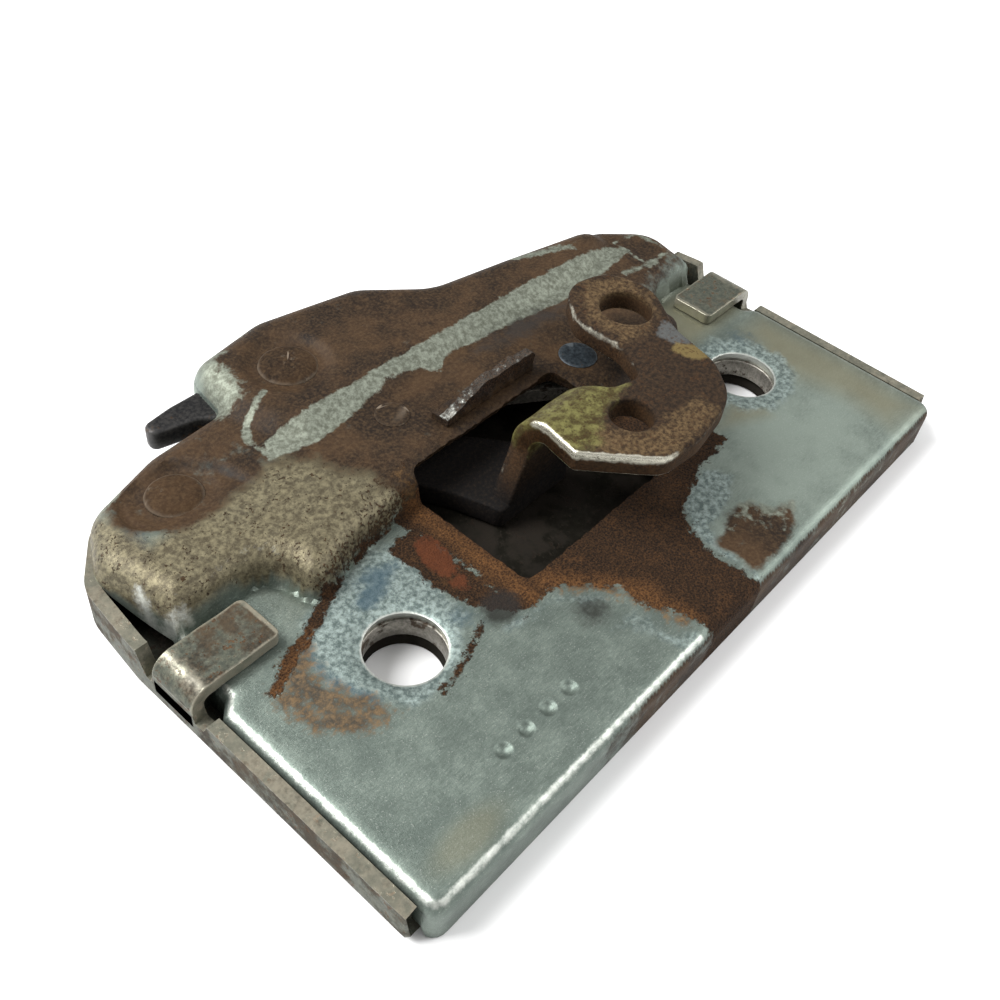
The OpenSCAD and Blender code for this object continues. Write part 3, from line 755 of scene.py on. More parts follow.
def sheet_metal(name):
    """Zinc sheet with stains, worn edges, painted highlight and painted shade: every layer is laid over the
    one before it.
    """
    material, tree, shader, v = begin(name)
    m = {k: attribute(tree, k) for k in
         ("rust", "orange", "film", "pale", "bloom", "blue", "tan", "olive", "dark", "red", "wear")}
    zinc = use(tree, ZINC, {"Vector": v, "Tone": lerp(tree, m["pale"], .42, .75)})
    rust = use(tree, RUST, {"Vector": v, "Orange": m["orange"]})
    film = use(tree, FILM, {"Vector": v})
    fine = grain(tree, v, 1.6, 6, .7)
    colour = zinc["Color"]
    colour = mix(tree, calc(tree, "MULTIPLY", step(tree, m["tan"], .1, .9), .75), colour, (.23, .215, .14))
    bloom = ragged(tree, v, m["bloom"], .5, .7, .22)
    mottled = mix(tree, step(tree, fine, .36, .66), (.09, .12, .115), (.34, .41, .385))
    colour = mix(tree, calc(tree, "MULTIPLY", bloom, .85), colour, mottled)
    colour = mix(tree, calc(tree, "MULTIPLY", ragged(tree, v, m["blue"], .7, .8, .3), .8), colour,
                 (.06, .1, .125))
    olive = step(tree, m["olive"], .1, .8)
    olive_tone = mix(tree, step(tree, fine, .35, .7), (.06, .044, .023), (.2, .17, .1))
    colour = mix(tree, calc(tree, "MULTIPLY", olive, .9), colour, olive_tone)
    speck_density = calc(tree, "ADD", calc(tree, "MULTIPLY", olive, .34), calc(tree, "ADD", .06,
                         calc(tree, "MULTIPLY", m["rust"], .9)))
    specks = use(tree, SPECKS, {"Vector": v, "Density": speck_density, "Scale": 2.8})["Mask"]
    colour = mix(tree, calc(tree, "MULTIPLY", specks, .85), colour, rust["Color"])
    film_mask = ragged(tree, v, m["film"], .4, 1.05, .3)
    colour = mix(tree, film_mask, colour, film["Color"])
    # pale tone: zinc where the film is worn, partly a painted highlight along the high ridge's bend
    pale_mask = calc(tree, "MULTIPLY", ragged(tree, v, m["pale"], .7, .8, .12),
                     step(tree, m["film"], .1, .5))
    pale_tone = mix(tree, step(tree, fine, .35, .7), (.12, .128, .1), (.28, .305, .25))
    colour = mix(tree, calc(tree, "MULTIPLY", pale_mask, .92), colour, pale_tone)
    orange_mask = ragged(tree, v, m["orange"], .8, .9, .2)
    colour = mix(tree, calc(tree, "MULTIPLY", orange_mask, .85), colour,
                 mix(tree, step(tree, fine, .38, .68), (.022, .011, .005), (.13, .072, .026)))
    rust_mask = ragged(tree, v, m["rust"], .8, .8, .08)
    colour = mix(tree, rust_mask, colour, rust["Color"])
    # near black: smears, and painted shade in the recess's crease
    dark_mask = ragged(tree, v, m["dark"], .6, .7, .3)
    colour = mix(tree, calc(tree, "MULTIPLY", dark_mask, .8), colour, (.022, .019, .017))
    red_mask = ragged(tree, v, m["red"], 1.2, .8, .15)
    colour = mix(tree, calc(tree, "MULTIPLY", red_mask, .85), colour,
                 mix(tree, fine, (.04, .012, .005), (.15, .045, .016)))
    # near-white: worn edges, and painted highlight on the rim's bend, round the left notch and on the step's
    # shoulder
    wear = calc(tree, "MULTIPLY", ragged(tree, v, m["wear"], 1.4, .6, .25),
                calc(tree, "SUBTRACT", 1, calc(tree, "MULTIPLY", rust_mask, .9)))
    colour = mix(tree, calc(tree, "MULTIPLY", wear, .8), colour, (.6, .62, .57))
    covered = calc(tree, "MAXIMUM", rust_mask, calc(tree, "MAXIMUM", film_mask, orange_mask))
    covered = calc(tree, "MULTIPLY", covered, calc(tree, "SUBTRACT", 1, pale_mask))
    covered = calc(tree, "MULTIPLY", covered, calc(tree, "SUBTRACT", 1, wear))
    metallic = lerp(tree, calc(tree, "MAXIMUM", covered, calc(tree, "MULTIPLY", olive, .45)), .78, .02)
    rough = lerp(tree, calc(tree, "MAXIMUM", rust_mask, calc(tree, "MULTIPLY", film_mask, .35)),
                 zinc["Roughness"], .92)
    rough = lerp(tree, calc(tree, "MULTIPLY", wear, .7), rough, .25)
    height = lerp(tree, rust_mask, calc(tree, "MULTIPLY", zinc["Height"], .3),
                  calc(tree, "ADD", calc(tree, "MULTIPLY", rust["Height"], 2.2), .6))
    height = calc(tree, "ADD", height, calc(tree, "MULTIPLY", specks, .5))
    height = calc(tree, "ADD", height, calc(tree, "MULTIPLY", film["Height"], .3))
    connect(tree, shader, colour, rough, metallic, height, .9, .13)
    return material


def tray_metal(name):
    """The tray's sheet: olive-grey zinc with brown stains, clean worn rims, painted highlight on the tabs'
    bends and painted shade on its floor.
    """
    material, tree, shader, v = begin(name)
    zinc = use(tree, ZINC, {"Vector": v, "Tone": .2})
    film = use(tree, FILM, {"Vector": v})
    rust = use(tree, RUST, {"Vector": v, "Orange": .2})
    fine = grain(tree, v, 1.8, 6, .7)
    olive_tone = mix(tree, step(tree, fine, .35, .7), (.035, .03, .018), (.15, .14, .095))
    colour = mix(tree, .6, zinc["Color"], olive_tone)
    stain = ragged(tree, v, grain(tree, v, .12, 3, .5), .5, .9, .16)
    colour = mix(tree, calc(tree, "MULTIPLY", stain, .8), colour, film["Color"])
    specks = use(tree, SPECKS, {"Vector": v, "Density": .42, "Scale": 1.8})["Mask"]
    colour = mix(tree, calc(tree, "MULTIPLY", specks, .85), colour, rust["Color"])
    # lighter rims: worn edges, and painted highlight on the tabs' bends
    wear = ragged(tree, v, attribute(tree, "wear"), 1.3, .6, .25)
    colour = mix(tree, calc(tree, "MULTIPLY", wear, .5), colour, (.33, .31, .24))
    # painted shade: the floor inside the case darkened to near black
    colour = mix(tree, calc(tree, "MULTIPLY", attribute(tree, "painted_shade"), .93), colour, (.008, .006, .004))
    metallic = lerp(tree, calc(tree, "MAXIMUM", stain, specks), .7, .12)
    rough = lerp(tree, wear, lerp(tree, stain, .5, .75), .3)
    height = calc(tree, "ADD", calc(tree, "MULTIPLY", fine, .5), calc(tree, "MULTIPLY", specks, -.6))
    connect(tree, shader, colour, rough, metallic, height, .6, .06)
    return material


def lever_metal(name):
    """Yellow-passivated plate, rusted brown, with bright sheared edges, and painted shade, near black, where
    it lies inside the case.
    """
    material, tree, shader, v = begin(name)
    m = {k: attribute(tree, k) for k in ("yellow", "tan", "blue", "gold", "bright", "side", "painted_shade")}
    film = use(tree, FILM, {"Vector": v})
    rust = use(tree, RUST, {"Vector": v, "Orange": .1})
    fine = grain(tree, v, 2.2, 6, .72)
    base = mix(tree, step(tree, fine, .35, .7), (.01, .006, .0035), (.042, .024, .012))
    tan_tone = mix(tree, step(tree, fine, .35, .66), (.03, .017, .008), (.13, .085, .04))
    colour = mix(tree, calc(tree, "MULTIPLY", ragged(tree, v, m["tan"], .8, .9, .25), .8), base, tan_tone)
    cloud = grain(tree, v, .8, 6, .7)
    yellow_tone = mix(tree, step(tree, cloud, .36, .66), (.06, .045, .015), (.2, .19, .065))
    yellow = ragged(tree, v, m["yellow"], .7, .7, .25)
    colour = mix(tree, calc(tree, "MULTIPLY", yellow, .85), colour, yellow_tone)
    colour = mix(tree, calc(tree, "MULTIPLY", ragged(tree, v, m["blue"], 1, .6, .2), .9), colour,
                 mix(tree, fine, (.035, .036, .037), (.11, .115, .11)))
    gold = ragged(tree, v, m["gold"], 1, .6, .2)
    colour = mix(tree, calc(tree, "MULTIPLY", gold, .9), colour, (.13, .095, .035))
    specks = use(tree, SPECKS, {"Vector": v, "Density": .5, "Scale": 2.6})["Mask"]
    colour = mix(tree, calc(tree, "MULTIPLY", specks, .55), colour, rust["Color"])
    side = step(tree, m["side"], .55, .95)
    colour = mix(tree, side, colour, mix(tree, .5, rust["Color"], film["Color"]))
    bright = ragged(tree, v, m["bright"], 1.2, .6, .25)
    colour = mix(tree, calc(tree, "MULTIPLY", bright, .8), colour, (.62, .6, .5))
    # painted shade: near black where the lever lies inside the case
    painted_shade_tone = mix(tree, step(tree, fine, .45, .8), (.004, .0035, .0035), (.022, .016, .011))
    colour = mix(tree, calc(tree, "MULTIPLY", m["painted_shade"], .95), colour, painted_shade_tone)
    metal = calc(tree, "MAXIMUM", bright, calc(tree, "MULTIPLY", yellow, .45))
    metallic = lerp(tree, metal, .1, .85)
    rough = lerp(tree, bright, lerp(tree, yellow, .82, .45), .26)
    height = calc(tree, "ADD", fine, calc(tree, "MULTIPLY", rust["Height"], .8))
    connect(tree, shader, colour, rough, metallic, height, .7, .07)
    return material


def plain_metal(name, dark_tone, light_tone, stain_share, metallic, roughness, dirt=.35):
    """A worn steel: two tones, a rust film over a share of it, specks and a fine bump."""
    material, tree, shader, v = begin(name)
    fine = grain(tree, v, 2.4, 5, .68)
    film = use(tree, FILM, {"Vector": v})
    colour = mix(tree, step(tree, fine, .34, .7), dark_tone, light_tone)
    stain = step(tree, grain(tree, v, .5, 5, .65), .72 - stain_share * .5, .8 - stain_share * .5)
    colour = mix(tree, stain, colour, film["Color"])
    specks = use(tree, SPECKS, {"Vector": v, "Density": dirt, "Scale": 2.4})["Mask"]
    colour = mix(tree, calc(tree, "MULTIPLY", specks, .7), colour, (.03, .018, .01))
    worn = node(tree, "ShaderNodeNewGeometry").outputs["Pointiness"]
    edge = calc(tree, "MULTIPLY", step(tree, worn, .52, .6), .5)
    colour = mix(tree, edge, colour, tuple(min(1, c * 1.8 + .05) for c in light_tone))
    connect(tree, shader, colour, lerp(tree, stain, roughness, .85), lerp(tree, stain, metallic, .1),
            fine, .45, .04)
    return material


def floor_paint(name):
    """Pale matt floor with the faintest cloudiness."""
    material, tree, shader, v = begin(name)
    cloud = grain(tree, v, .01, 3, .5)
    connect(tree, shader, mix(tree, cloud, (.86, .86, .86), (.9, .9, .9)), .9, 0.0, cloud, .05)
    return material


SHEET_METAL = sheet_metal("stained zinc sheet")
TRAY_METAL = tray_metal("tray zinc sheet")
LEVER_METAL = lever_metal("yellow passivated lever plate")
RIVET_METAL = plain_metal("rivet steel", (.03, .022, .015), (.12, .09, .06), .8, .4, .55)
BLUE_RIVET = plain_metal("blued rivet end", (.008, .011, .014), (.035, .045, .052), .1, .4, .5)
BLACK_STEEL = plain_metal("black claw steel", (.012, .012, .013), (.04, .038, .036), .25, .5, .42, .2)
TURNED_STEEL = plain_metal("dull turned steel", (.16, .15, .13), (.34, .32, .28), .4, .8, .45)
SPRING_STEEL = plain_metal("oiled spring wire", (.1, .1, .1), (.3, .3, .29), .15, .9, .3, .15)
RUBBER = plain_metal("black rubber", (.012, .012, .012), (.03, .03, .03), 0, 0, .85, .1)


# ---- the cover ----
def cover_height(p):
    """Height of the cover's top: the low plate, the middle band and the high ridge, each with a rounded
    shoulder round its own outline, joined by rounded creases, less the recess, dimples and marks."""
    d_cover = depth_inside(p, rounded(COVER))
    d_mid = depth_inside(p, rounded(MIDDLE))
    d_high = depth_inside(p, rounded(HIGH))
    z = shoulder(np.maximum(d_cover, 0), LOW_TOP, 1.4, 1.4)
    z = blend_max(z, shoulder(d_mid, MID_TOP, 2.9, 3), 1.1)
    z = blend_max(z, shoulder(d_high, HIGH_TOP, 4.1, 3.4), 1.2)
    # recess round the pawl rivet, sharp on its right side and fading to the front
    sink = smooth(depth_inside(p, rounded(RECESS)), -.25, .7) * smooth(p[:, 1], 43.4, 48)
    z -= .75 * sink
    # dimple round the claw rivet and a flat round the pawl rivet
    z -= .65 * smooth(5.6 - np.linalg.norm(p - CLAW_C, axis=1), 0, 1.6)
    z -= .2 * smooth(4.6 - np.linalg.norm(p - PAWL_C, axis=1), 0, .5)
    # groove at the foot of the step round the left tab, rectangular press mark, punch marks
    z -= .35 * np.clip(1 - np.abs(d_mid + .5) / .6, 0, 1) * smooth(16 - p[:, 0], 0, 3) * (p[:, 1] < 37)
    from_mark = np.abs(p - PRESS_MARK)
    mark = np.minimum(PRESS_MARK_HALF[0] - from_mark[:, 0], PRESS_MARK_HALF[1] - from_mark[:, 1])
    z -= .3 * smooth(mark, -.3, .5)
    for middle in PUNCH_MARKS:
        r = np.linalg.norm(p - middle, axis=1)
        z -= np.clip(.42 * (1 - (r / .85) ** 2), 0, 1)
        z += .05 * np.clip(1 - np.abs(r - 1.05) / .3, 0, 1)
    # hand-flattened sheet: slow waves, and the rim of each fixing hole pulled in a little
    z += .06 * ripple(p, 17, 3) * smooth(d_cover, .5, 4)
    for middle in SCREWS:
        r = np.linalg.norm(p - middle, axis=1) - SCREW_R
        z -= .28 * np.clip(1 - r / 1.6, 0, 1) ** 2
    return z, d_mid


def build_cover():
    """The pressed cover: its top as heights over the plan, a wall hung from its rim, then thickness."""
    rim_steps = [0, .08, .25, .5, .85, 1.3, 1.9]
    rings = [evenly(rounded(shrink(COVER, s)), .55) for s in rim_steps]
    slot_rings = [evenly(rounded(shrink(SLOT, -s)), .45) for s in (0, .12, .35, .8)]
    slot_rings[0] = slot_rings[0] + .11 * np.stack([ripple(slot_rings[0], 1.6, 7),
                                                    ripple(slot_rings[0], 1.6, 8)], 1)
    hole_rings = [circle(c, SCREW_R + s, 96) for c in SCREWS for s in (0, .12, .35, .8, 1.5)]
    holes = [slot_rings[0], hole_rings[0], hole_rings[5]]
    extra = rings[1:] + slot_rings[1:] + hole_rings[1:5] + hole_rings[6:]
    mark_rings = ((.2, 8), (.45, 14), (.65, 18), (.85, 24), (1.05, 28))
    marks = [circle(middle, r, n) for middle in PUNCH_MARKS for r, n in mark_rings]
    room = [(rounded(SLOT), 1.1), (circle(SCREWS[0], SCREW_R), 1.8), (circle(SCREWS[1], SCREW_R), 1.8)]
    room += [(circle(middle, 1.05, 28), .25) for middle in PUNCH_MARKS]
    extra += marks + [fill_points(rings[0], room, .52, 2.1)]
    flat, faces, loops = triangulate(rings[0], holes, extra)
    z, d_mid = cover_height(flat)
    stains = cover_stains(flat, z, d_mid)
    points = [np.column_stack([flat, z])]
    groups = [faces]
    ring = loops[0]
    rim = flat[ring]
    bottom = np.where(rim[:, 1] < 1.5, .1, np.where(rim[:, 1] < 37.3, 1.55, SEAM + .03))
    bottom = np.minimum(bottom, z[ring] - .04)
    start, above = len(flat), ring
    for share in (.2, .5, 1):
        row = start + np.arange(len(ring))
        points.append(np.column_stack([rim, z[ring] + (bottom - z[ring]) * share]))
        groups.append(strip_faces(above, row))
        for key in stains:
            stains[key] = np.concatenate([stains[key], stains[key][ring]])
        above = row
        start += len(ring)
    made = piece("pressed_cover", np.vstack(points), groups, "case", SHEET_METAL, ["cover"],
                 stains)
    thicken(made, COVER_SHEET)
    carve(made, *mouth_cutter())
    soften(made, .1, 2, 50)
    return made


def mouth_cutter():
    """The window's space: a ring sector round the claw rivet between two heights."""
    outer = arc(CLAW_C, WINDOW_RADII[1], *WINDOW_ANGLES, 40)
    inner = arc(CLAW_C, WINDOW_RADII[0], *reversed(WINDOW_ANGLES), 24)
    loop = np.vstack([outer, inner])
    count = len(loop)
    points = np.vstack([np.column_stack([loop, np.full(count, h)]) for h in WINDOW_Z])
    lower, upper = np.arange(count), count + np.arange(count)
    return points, [strip_faces(upper, lower), [lower[::-1]], [upper]]


def build_lug():
    """The lug bent up from the window's rear edge: a bent section, flat then a quarter turn then upright,
    carried along x, with its upright length growing over a ramp at the left."""
    along = np.linspace(39.4, 54.2, 60)
    radius, base = 1.1, MID_TOP - .45
    ramp = smooth(along, 39.2, 45.6) * (1 - .3 * smooth(along, 53.3, 54.2) ** 2)
    tall = .6 + 2.5 * ramp
    bend = np.linspace(0, math.pi / 2, 8)
    rows = []
    for k in np.linspace(1.6, .2, 4):
        rows.append(np.column_stack([along, np.full(60, 36.2 + k + radius), np.full(60, base)]))
    for a in bend:
        rows.append(np.column_stack([along, np.full(60, 36.4 + radius - radius * math.sin(a)),
                                     np.full(60, base + radius - radius * math.cos(a))]))
    for share in np.linspace(.15, 1, 8):
        rows.append(np.column_stack([along, np.full(60, 36.4), base + radius + tall * share * .82]))
    points = np.vstack(rows)
    points[:, 1] += .12 * ripple(points[:, [0, 2]], 2.4, 11)
    grid = np.arange(len(points)).reshape(len(rows), 60)
    faces = [strip_faces(grid[k], grid[k + 1], closed=False) for k in range(len(rows) - 1)]
    share = smooth(points[:, 2], MID_TOP + .4, MID_TOP + 2.6)
    top_edge = base + radius + np.tile(tall, len(rows)) * .82
    none = np.zeros(len(points))
    masks = {key: none for key in ("orange", "pale", "bloom", "blue", "tan", "olive", "red")}
    masks.update(wear=smooth(points[:, 2] - top_edge, -.3, 0) * .5, film=none + 1, rust=.35 + .3 * share,
                 dark=none + .35)
    made = piece("slot_lug", points, faces, "case", SHEET_METAL, (), masks)
    thicken(made, LUG_SHEET, 1)
    soften(made, .22, 3, 35)
    return made


# ---- the tray ----
def build_tray():
    """The back tray: its floor as heights under the plan, rounded up at the rim, and a wall carried round
    the outline whose height follows the side: low flanges, notches by the tabs, the seam behind."""
    radius = 1.5
    rings = [evenly(rounded(shrink(TRAY, radius * s)), .6) for s in (0, .06, .2, .45, .75, 1)]
    hole_rings = [circle(c, SCREW_R + s, 96) for c in SCREWS for s in (0, .12, .35)]
    holes = [hole_rings[0], hole_rings[3]]
    extra = rings[1:] + hole_rings[1:3] + hole_rings[4:]
    room = [(circle(c, SCREW_R), .7) for c in SCREWS]
    extra.append(fill_points(rings[0], room, .8, radius + .4))
    flat, faces, loops = triangulate(rings[0], holes, extra)
    depth = np.maximum(depth_inside(flat, rings[0]), 0)
    depth[loops[0]] = 0
    t = 1 - np.clip(depth / radius, 0, 1)
    z = radius * (1 - np.sqrt(1 - t * t))
    z += (.04 + .04 * ripple(flat, 20, 9)) * smooth(depth, 1.5, 5)
    for middle in SCREWS:
        z += .12 * np.clip(1 - (np.linalg.norm(flat - middle, axis=1) - SCREW_R) / .35, 0, 1) ** 2
    points = [np.column_stack([flat, z])]
    groups = [faces[:, ::-1]]
    ring = loops[0]
    rim = flat[ring]
    y = rim[:, 1]
    notch = smooth(y, 27.2, 28) * smooth(29.6 - y, 0, .3) + smooth(y, 35.1, 35.4) * smooth(37 - y, 0, .8)
    top = np.where(y > 37.4, SEAM, FLANGE_TOP - 1.5 * np.clip(notch, 0, 1))
    top = np.where(y < 1.9, radius, top)
    wear = [np.zeros(len(z))]
    start, below = len(flat), ring
    for share in (.25, .6, .9, 1):
        row = start + np.arange(len(ring))
        points.append(np.column_stack([rim, radius + (top - radius) * share]))
        wear.append(np.full(len(ring), .6 if share > .95 else 0))
        quads = strip_faces(row, below)
        tall = (top > radius + .05) | (np.roll(top, -1) > radius + .05)
        groups.append(quads[tall])
        below = row
        start += len(ring)
    # painted shade: the floor darker away from its rim, none on the walls
    painted_shade = np.concatenate([smooth(depth, 1.2, 4)] + [np.zeros(len(ring))] * 4)
    made = piece("tray_shell", np.vstack(points), groups, "case", TRAY_METAL, ["back_tray"],
                 dict(wear=np.concatenate(wear), painted_shade=painted_shade))
    loose = made.modifiers.new("weld", "WELD")
    loose.merge_threshold = 1e-6
    thicken(made, TRAY_SHEET)
    carve(made, *mouth_cutter())
    carve(made, *box_cutter([87, 41.5, 3.4], [97, 46.1, 10]))
    soften(made, .18, 2, 50)
    return made


def box_cutter(lo, hi):
    """A plain box between two corners."""
    points = np.array([[x, y, z] for z in (lo[2], hi[2]) for x, y in
                       ((lo[0], lo[1]), (hi[0], lo[1]), (hi[0], hi[1]), (lo[0], hi[1]))])
    faces = [[[3, 2, 1, 0], [4, 5, 6, 7]], strip_faces([4, 5, 6, 7], [0, 1, 2, 3])]
    return points, faces


def build_tab(name, mirrored):
    """A flange tab folded flat over the cover: a section that rises, turns through a quarter circle and
    runs inward, carried across the tab's width, its free corners rounded by shortening the run."""
    across = np.linspace(29.35, 35.25, 26)
    half = (across[-1] - across[0]) / 2
    from_side = half - np.abs(across - across.mean())
    corner = .7
    t = 1 - np.clip(from_side / corner, 0, 1)
    short = corner * (1 - np.sqrt(1 - t * t))
    radius, x0, z_top = 1.5, -.82, LOW_TOP + .8
    rows = []
    for h in np.linspace(2.2, z_top - radius, 5):
        rows.append(np.column_stack([np.full(26, x0), across, np.full(26, h)]))
    for a in np.linspace(.1, 1, 10) * math.pi / 2:
        rows.append(np.column_stack([np.full(26, x0 + radius - radius * math.cos(a)), across,
                                     np.full(26, z_top - radius + radius * math.sin(a))]))
    for share in np.linspace(.06, 1, 22):
        run = (8.5 - short) * share
        rows.append(np.column_stack([x0 + radius + run, across, np.full(26, z_top)]))
    points = np.vstack(rows)
    flat = points[:, [0, 1]]
    points[:, 2] += (.07 * ripple(flat, 5, 21) + .05 * smooth(flat[:, 0], 6, 9)) * smooth(flat[:, 0], .8, 2)
    grid = np.arange(len(points)).reshape(len(rows), 26)
    faces = [strip_faces(grid[k + 1], grid[k], closed=False) for k in range(len(rows) - 1)]
    if mirrored:
        points[:, 0] = CASE_W - points[:, 0]
        faces = [f[:, ::-1] for f in faces]
    # worn side edges and end; the bend is painted highlight
    edge = np.clip(1 - np.tile(from_side, len(rows)) / .5, 0, 1)
    end = smooth(np.abs(flat[:, 0]), 8.3, 9.1)
    bend = np.clip(1 - np.abs(flat[:, 0] - .3) / 1.6, 0, 1)
    made = piece(name, points, faces, "case", TRAY_METAL, (),
                 dict(wear=most(edge * .8, end, bend * .62)))
    thicken(made, TAB_SHEET, 0)
    soften(made, .24, 3, 35)
    return made


# ---- the release lever ----
def fold_down(points):
    """Bends the lever's flat pattern: what lies behind the bend line turns down round a cylinder of the
    bend's middle radius, then runs straight down; heights become distance from that cylinder's axis."""
    x, y, z = points.T
    height = z - (ARM_TOP - LEVER_T / 2)
    past = np.where(x < 54, np.maximum(y - BEND_Y, 0), 0)
    angle = np.minimum(past / BEND_R, math.pi / 2)
    straight = np.maximum(past - BEND_R * math.pi / 2, 0)
    r = BEND_R + height
    bent_y = np.where(past > 0, BEND_Y + r * np.sin(angle), y)
    bent_z = np.where(past > 0, ARM_TOP - LEVER_T / 2 - BEND_R + r * np.cos(angle) - straight, z)
    return np.column_stack([x, bent_y, bent_z])


def build_lever():
    """The lever's arm and stem from one bent slab, and its foot as a flat slab inside the case."""
    holes = [(ROD_C, ROD_R), (EYE_C, EYE_R)]
    points, faces, plan, wall = slab(ARM, holes, ARM_TOP - LEVER_T, ARM_TOP, .38, .5)
    points[:, 2] += .05 * ripple(plan, 6, 31)
    made = piece("lever_arm", fold_down(points), faces, "release_lever", LEVER_METAL,
                 ["release_lever"], lever_stains(plan, wall))
    soften(made, .05, 1, 60)
    foot = slab(FOOT, [(LEVER_C, 2.86)], FOOT_Z, FOOT_Z + LEVER_T, .3, .8)
    zero = np.zeros(len(foot[0]))
    # the foot lies inside the case, all in painted shade
    masks = dict(yellow=zero, tan=zero, blue=zero, gold=zero, bright=zero, side=foot[3], painted_shade=zero + 1)
    piece("foot_slab", foot[0], foot[1], "release_lever", LEVER_METAL,
          ["lever_foot_plate"], masks)
    for name, end, width in (("lever_pawl_arm", [22.5, 52.25], 3.8), ("lever_link_arm", STUD_C, 4.6)):
        start, end = np.array(LEVER_C, float), np.array(end)
        way = math.degrees(math.atan2(*(end - start)[::-1]))
        start = start + (end - start) / np.linalg.norm(end - start) * 3
        near_end = arc(start, width / 2, way + 90, way + 270, 9)
        far_end = arc(end, width / 2, way - 90, way + 90, 9)
        loop = np.vstack([near_end, far_end])
        corners = [[x, y, .05] for x, y in loop]
        arm = slab(corners, [], FOOT_Z + .02, FOOT_Z + LEVER_T - .02, .3, .8)
        zero = np.zeros(len(arm[0]))
        # the arms lie inside the case, all in painted shade
        masks = dict(yellow=zero, tan=zero, blue=zero, gold=zero, bright=zero, side=arm[3], painted_shade=zero + 1)
        piece(name, arm[0], arm[1], "release_lever", LEVER_METAL, (), masks)
    stud = [[0, STUD_TOP - 2.7], [1.6, STUD_TOP - 2.7], [1.6, STUD_TOP - .2], [1.4, STUD_TOP], [0, STUD_TOP]]
    turned("stud_pin", stud, STUD_C, "release_lever", "bright_steel", TURNED_STEEL, ["lever_stud"], count=48)
    return made


# ---- the claw and its rivet, the pawl's rivet ----
def build_claw():
    """The claw: hub, round rim and hooked finger in one slab with softened edges."""
    z0, z1 = level("claw", top=False), level("claw")
    rim = arc(CLAW_C, 9.35, 216, 294, 18)
    notch = arc([35.1, 45.7], 1.65, 172, 24, 8)
    left = rim[rim[:, 0] < 33.6]
    right = rim[rim[:, 0] > 36.6]
    hub = arc(CLAW_C, 6, 300, 440, 12)
    loop = np.vstack([left, notch[1:-1], right, hub])
    finger = [[33, 61.4, .6], [20.4, 61.3, 1.5], [16.6, 60.8, 1], [16.1, 58.9, .9], [21.6, 57.6, 3],
              [25, 54.6, 1.2]]
    corners = finger + [[x, y, .04] for x, y in loop]
    points, faces, plan, wall = slab(corners, [(CLAW_C, 3.06)], z0, z1, .42, .55)
    made = piece("claw_plate", points, faces, "claw", BLACK_STEEL, ["claw"])
    return made


def build_rivets():
    """Peened rivets: a shank from the back face to a low hammered dome."""
    claw_z, pawl_z = HIGH_TOP - .65, MID_TOP - .85
    shank = [[0, .02], [2.4, .02], [2.5, .15], [2.5, 1.5], [3, 1.5], [3, 8], [2.2, 8]]
    dome = [[r, claw_z - .1 + .95 * math.sqrt(max(0, 1 - (r / 3.5) ** 2))] for r in
            (3.5, 3.4, 3.1, 2.6, 2, 1.3, .6, 0)]
    turned("claw_rivet", shank + [[2.2, claw_z - .2]] + dome, CLAW_C, "case", "bright_steel",
           RIVET_METAL, ["claw_pivot_rivet"], hammered=.12)
    shank = [[0, .02], [2.1, .02], [2.2, .15], [2.2, 7], [2, 7]]
    dome = [[r, pawl_z - .1 + .85 * math.sqrt(max(0, 1 - (r / 3.1) ** 2))] for r in
            (3.1, 3, 2.7, 2.2, 1.6, .9, .4, 0)]
    turned("pawl_rivet", shank + [[2, pawl_z - .2]] + dome, PAWL_C, "case", "bright_steel",
           RIVET_METAL, ["pawl_pivot_rivet"], hammered=.1)


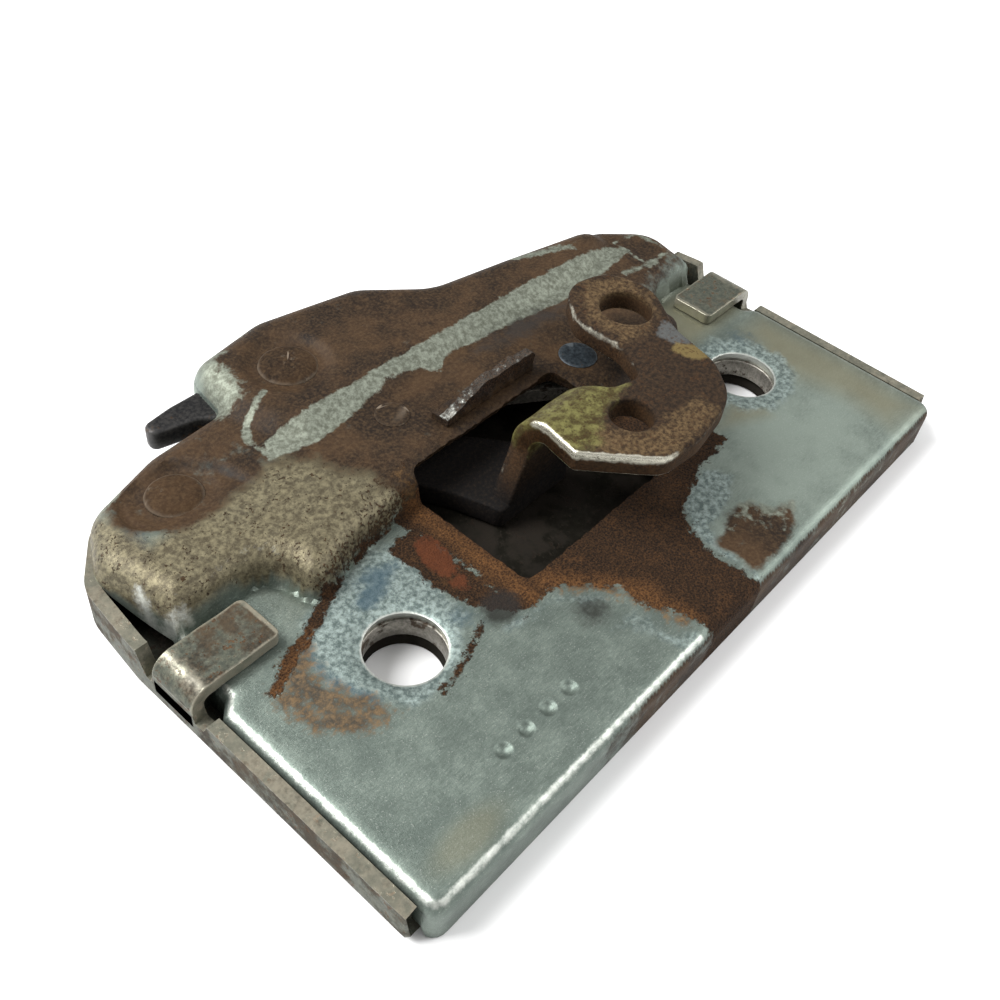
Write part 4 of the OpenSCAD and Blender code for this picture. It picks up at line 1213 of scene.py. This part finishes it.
# ---- the rest of the works: carried over with better finishes ----
def finish_works():
    """Gives each carried-over node its metal and softened edges."""
    finishes = {TURNED_STEEL: ["screw_spacers", "claw_lower_washer", "stop_pin", "pawl",
                               "pawl_lower_washer", "lever_upper_sleeve", "link_lever",
                               "link_lower_sleeve", "link_upper_washer"],
                SPRING_STEEL: ["claw_spring", "pawl_spring", "lever_spring"],
                RIVET_METAL: ["lever_pivot_rivet"],
                BLUE_RIVET: ["link_pivot_rivet"],
                RUBBER: ["stop_buffer"]}
    for material, names in finishes.items():
        for name in names:
            made = frame["nodes"][name]
            made.data.materials.clear()
            made.data.materials.append(material)
            if material is not SPRING_STEEL:
                soften(made, .12, 2, 35, weld=True)


# ---- floor, lights, camera ----
def build_stage():
    """Pale floor, a wide soft key from the upper left, a low fill, and the camera."""
    bpy.ops.mesh.primitive_plane_add(size=6, location=(0, 0, -.00005))
    floor = bpy.context.object
    floor.name = "floor"
    floor.data.materials.append(floor_paint("pale floor"))
    world = bpy.data.worlds.new("soft room")
    world.use_nodes = True
    world.node_tree.nodes["Background"].inputs[0].default_value = (1, 1, 1, 1)
    world.node_tree.nodes["Background"].inputs[1].default_value = .55
    bpy.context.scene.world = world
    lamps = (("key", (-.25, .28, .42), .3, 5.5), ("fill", (.35, -.3, .35), .4, 2.2))
    for name, spot_at, size, power in lamps:
        lamp = bpy.data.lights.new(name, "AREA")
        lamp.size = size
        lamp.energy = power
        lit = bpy.data.objects.new(name, lamp)
        lit.location = spot_at
        lit.rotation_euler = (Vector((0, .01, 0)) - Vector(spot_at)).to_track_quat("-Z", "Y").to_euler()
        bpy.context.scene.collection.objects.link(lit)
    lens = bpy.data.cameras.new("camera")
    lens.lens = 39.6
    lens.sensor_width = 36
    lens.clip_start = .005
    view = bpy.data.objects.new("camera", lens)
    right, up, back = (.65894, -.7455, .10017), (.50008, .53366, .682), (-.56189, -.39931, .72446)
    turn = Matrix([right, up, back]).transposed().to_4x4()
    view.matrix_world = Matrix.Translation((-.07727, -.04184, .09341)) @ turn
    bpy.context.scene.collection.objects.link(view)
    bpy.context.scene.camera = view
    bpy.context.scene.view_settings.view_transform = "Standard"


build_cover()
build_lug()
build_tray()
build_tab("left_tab", False)
build_tab("right_tab", True)
build_lever()
build_claw()
build_rivets()
finish_works()
build_stage()
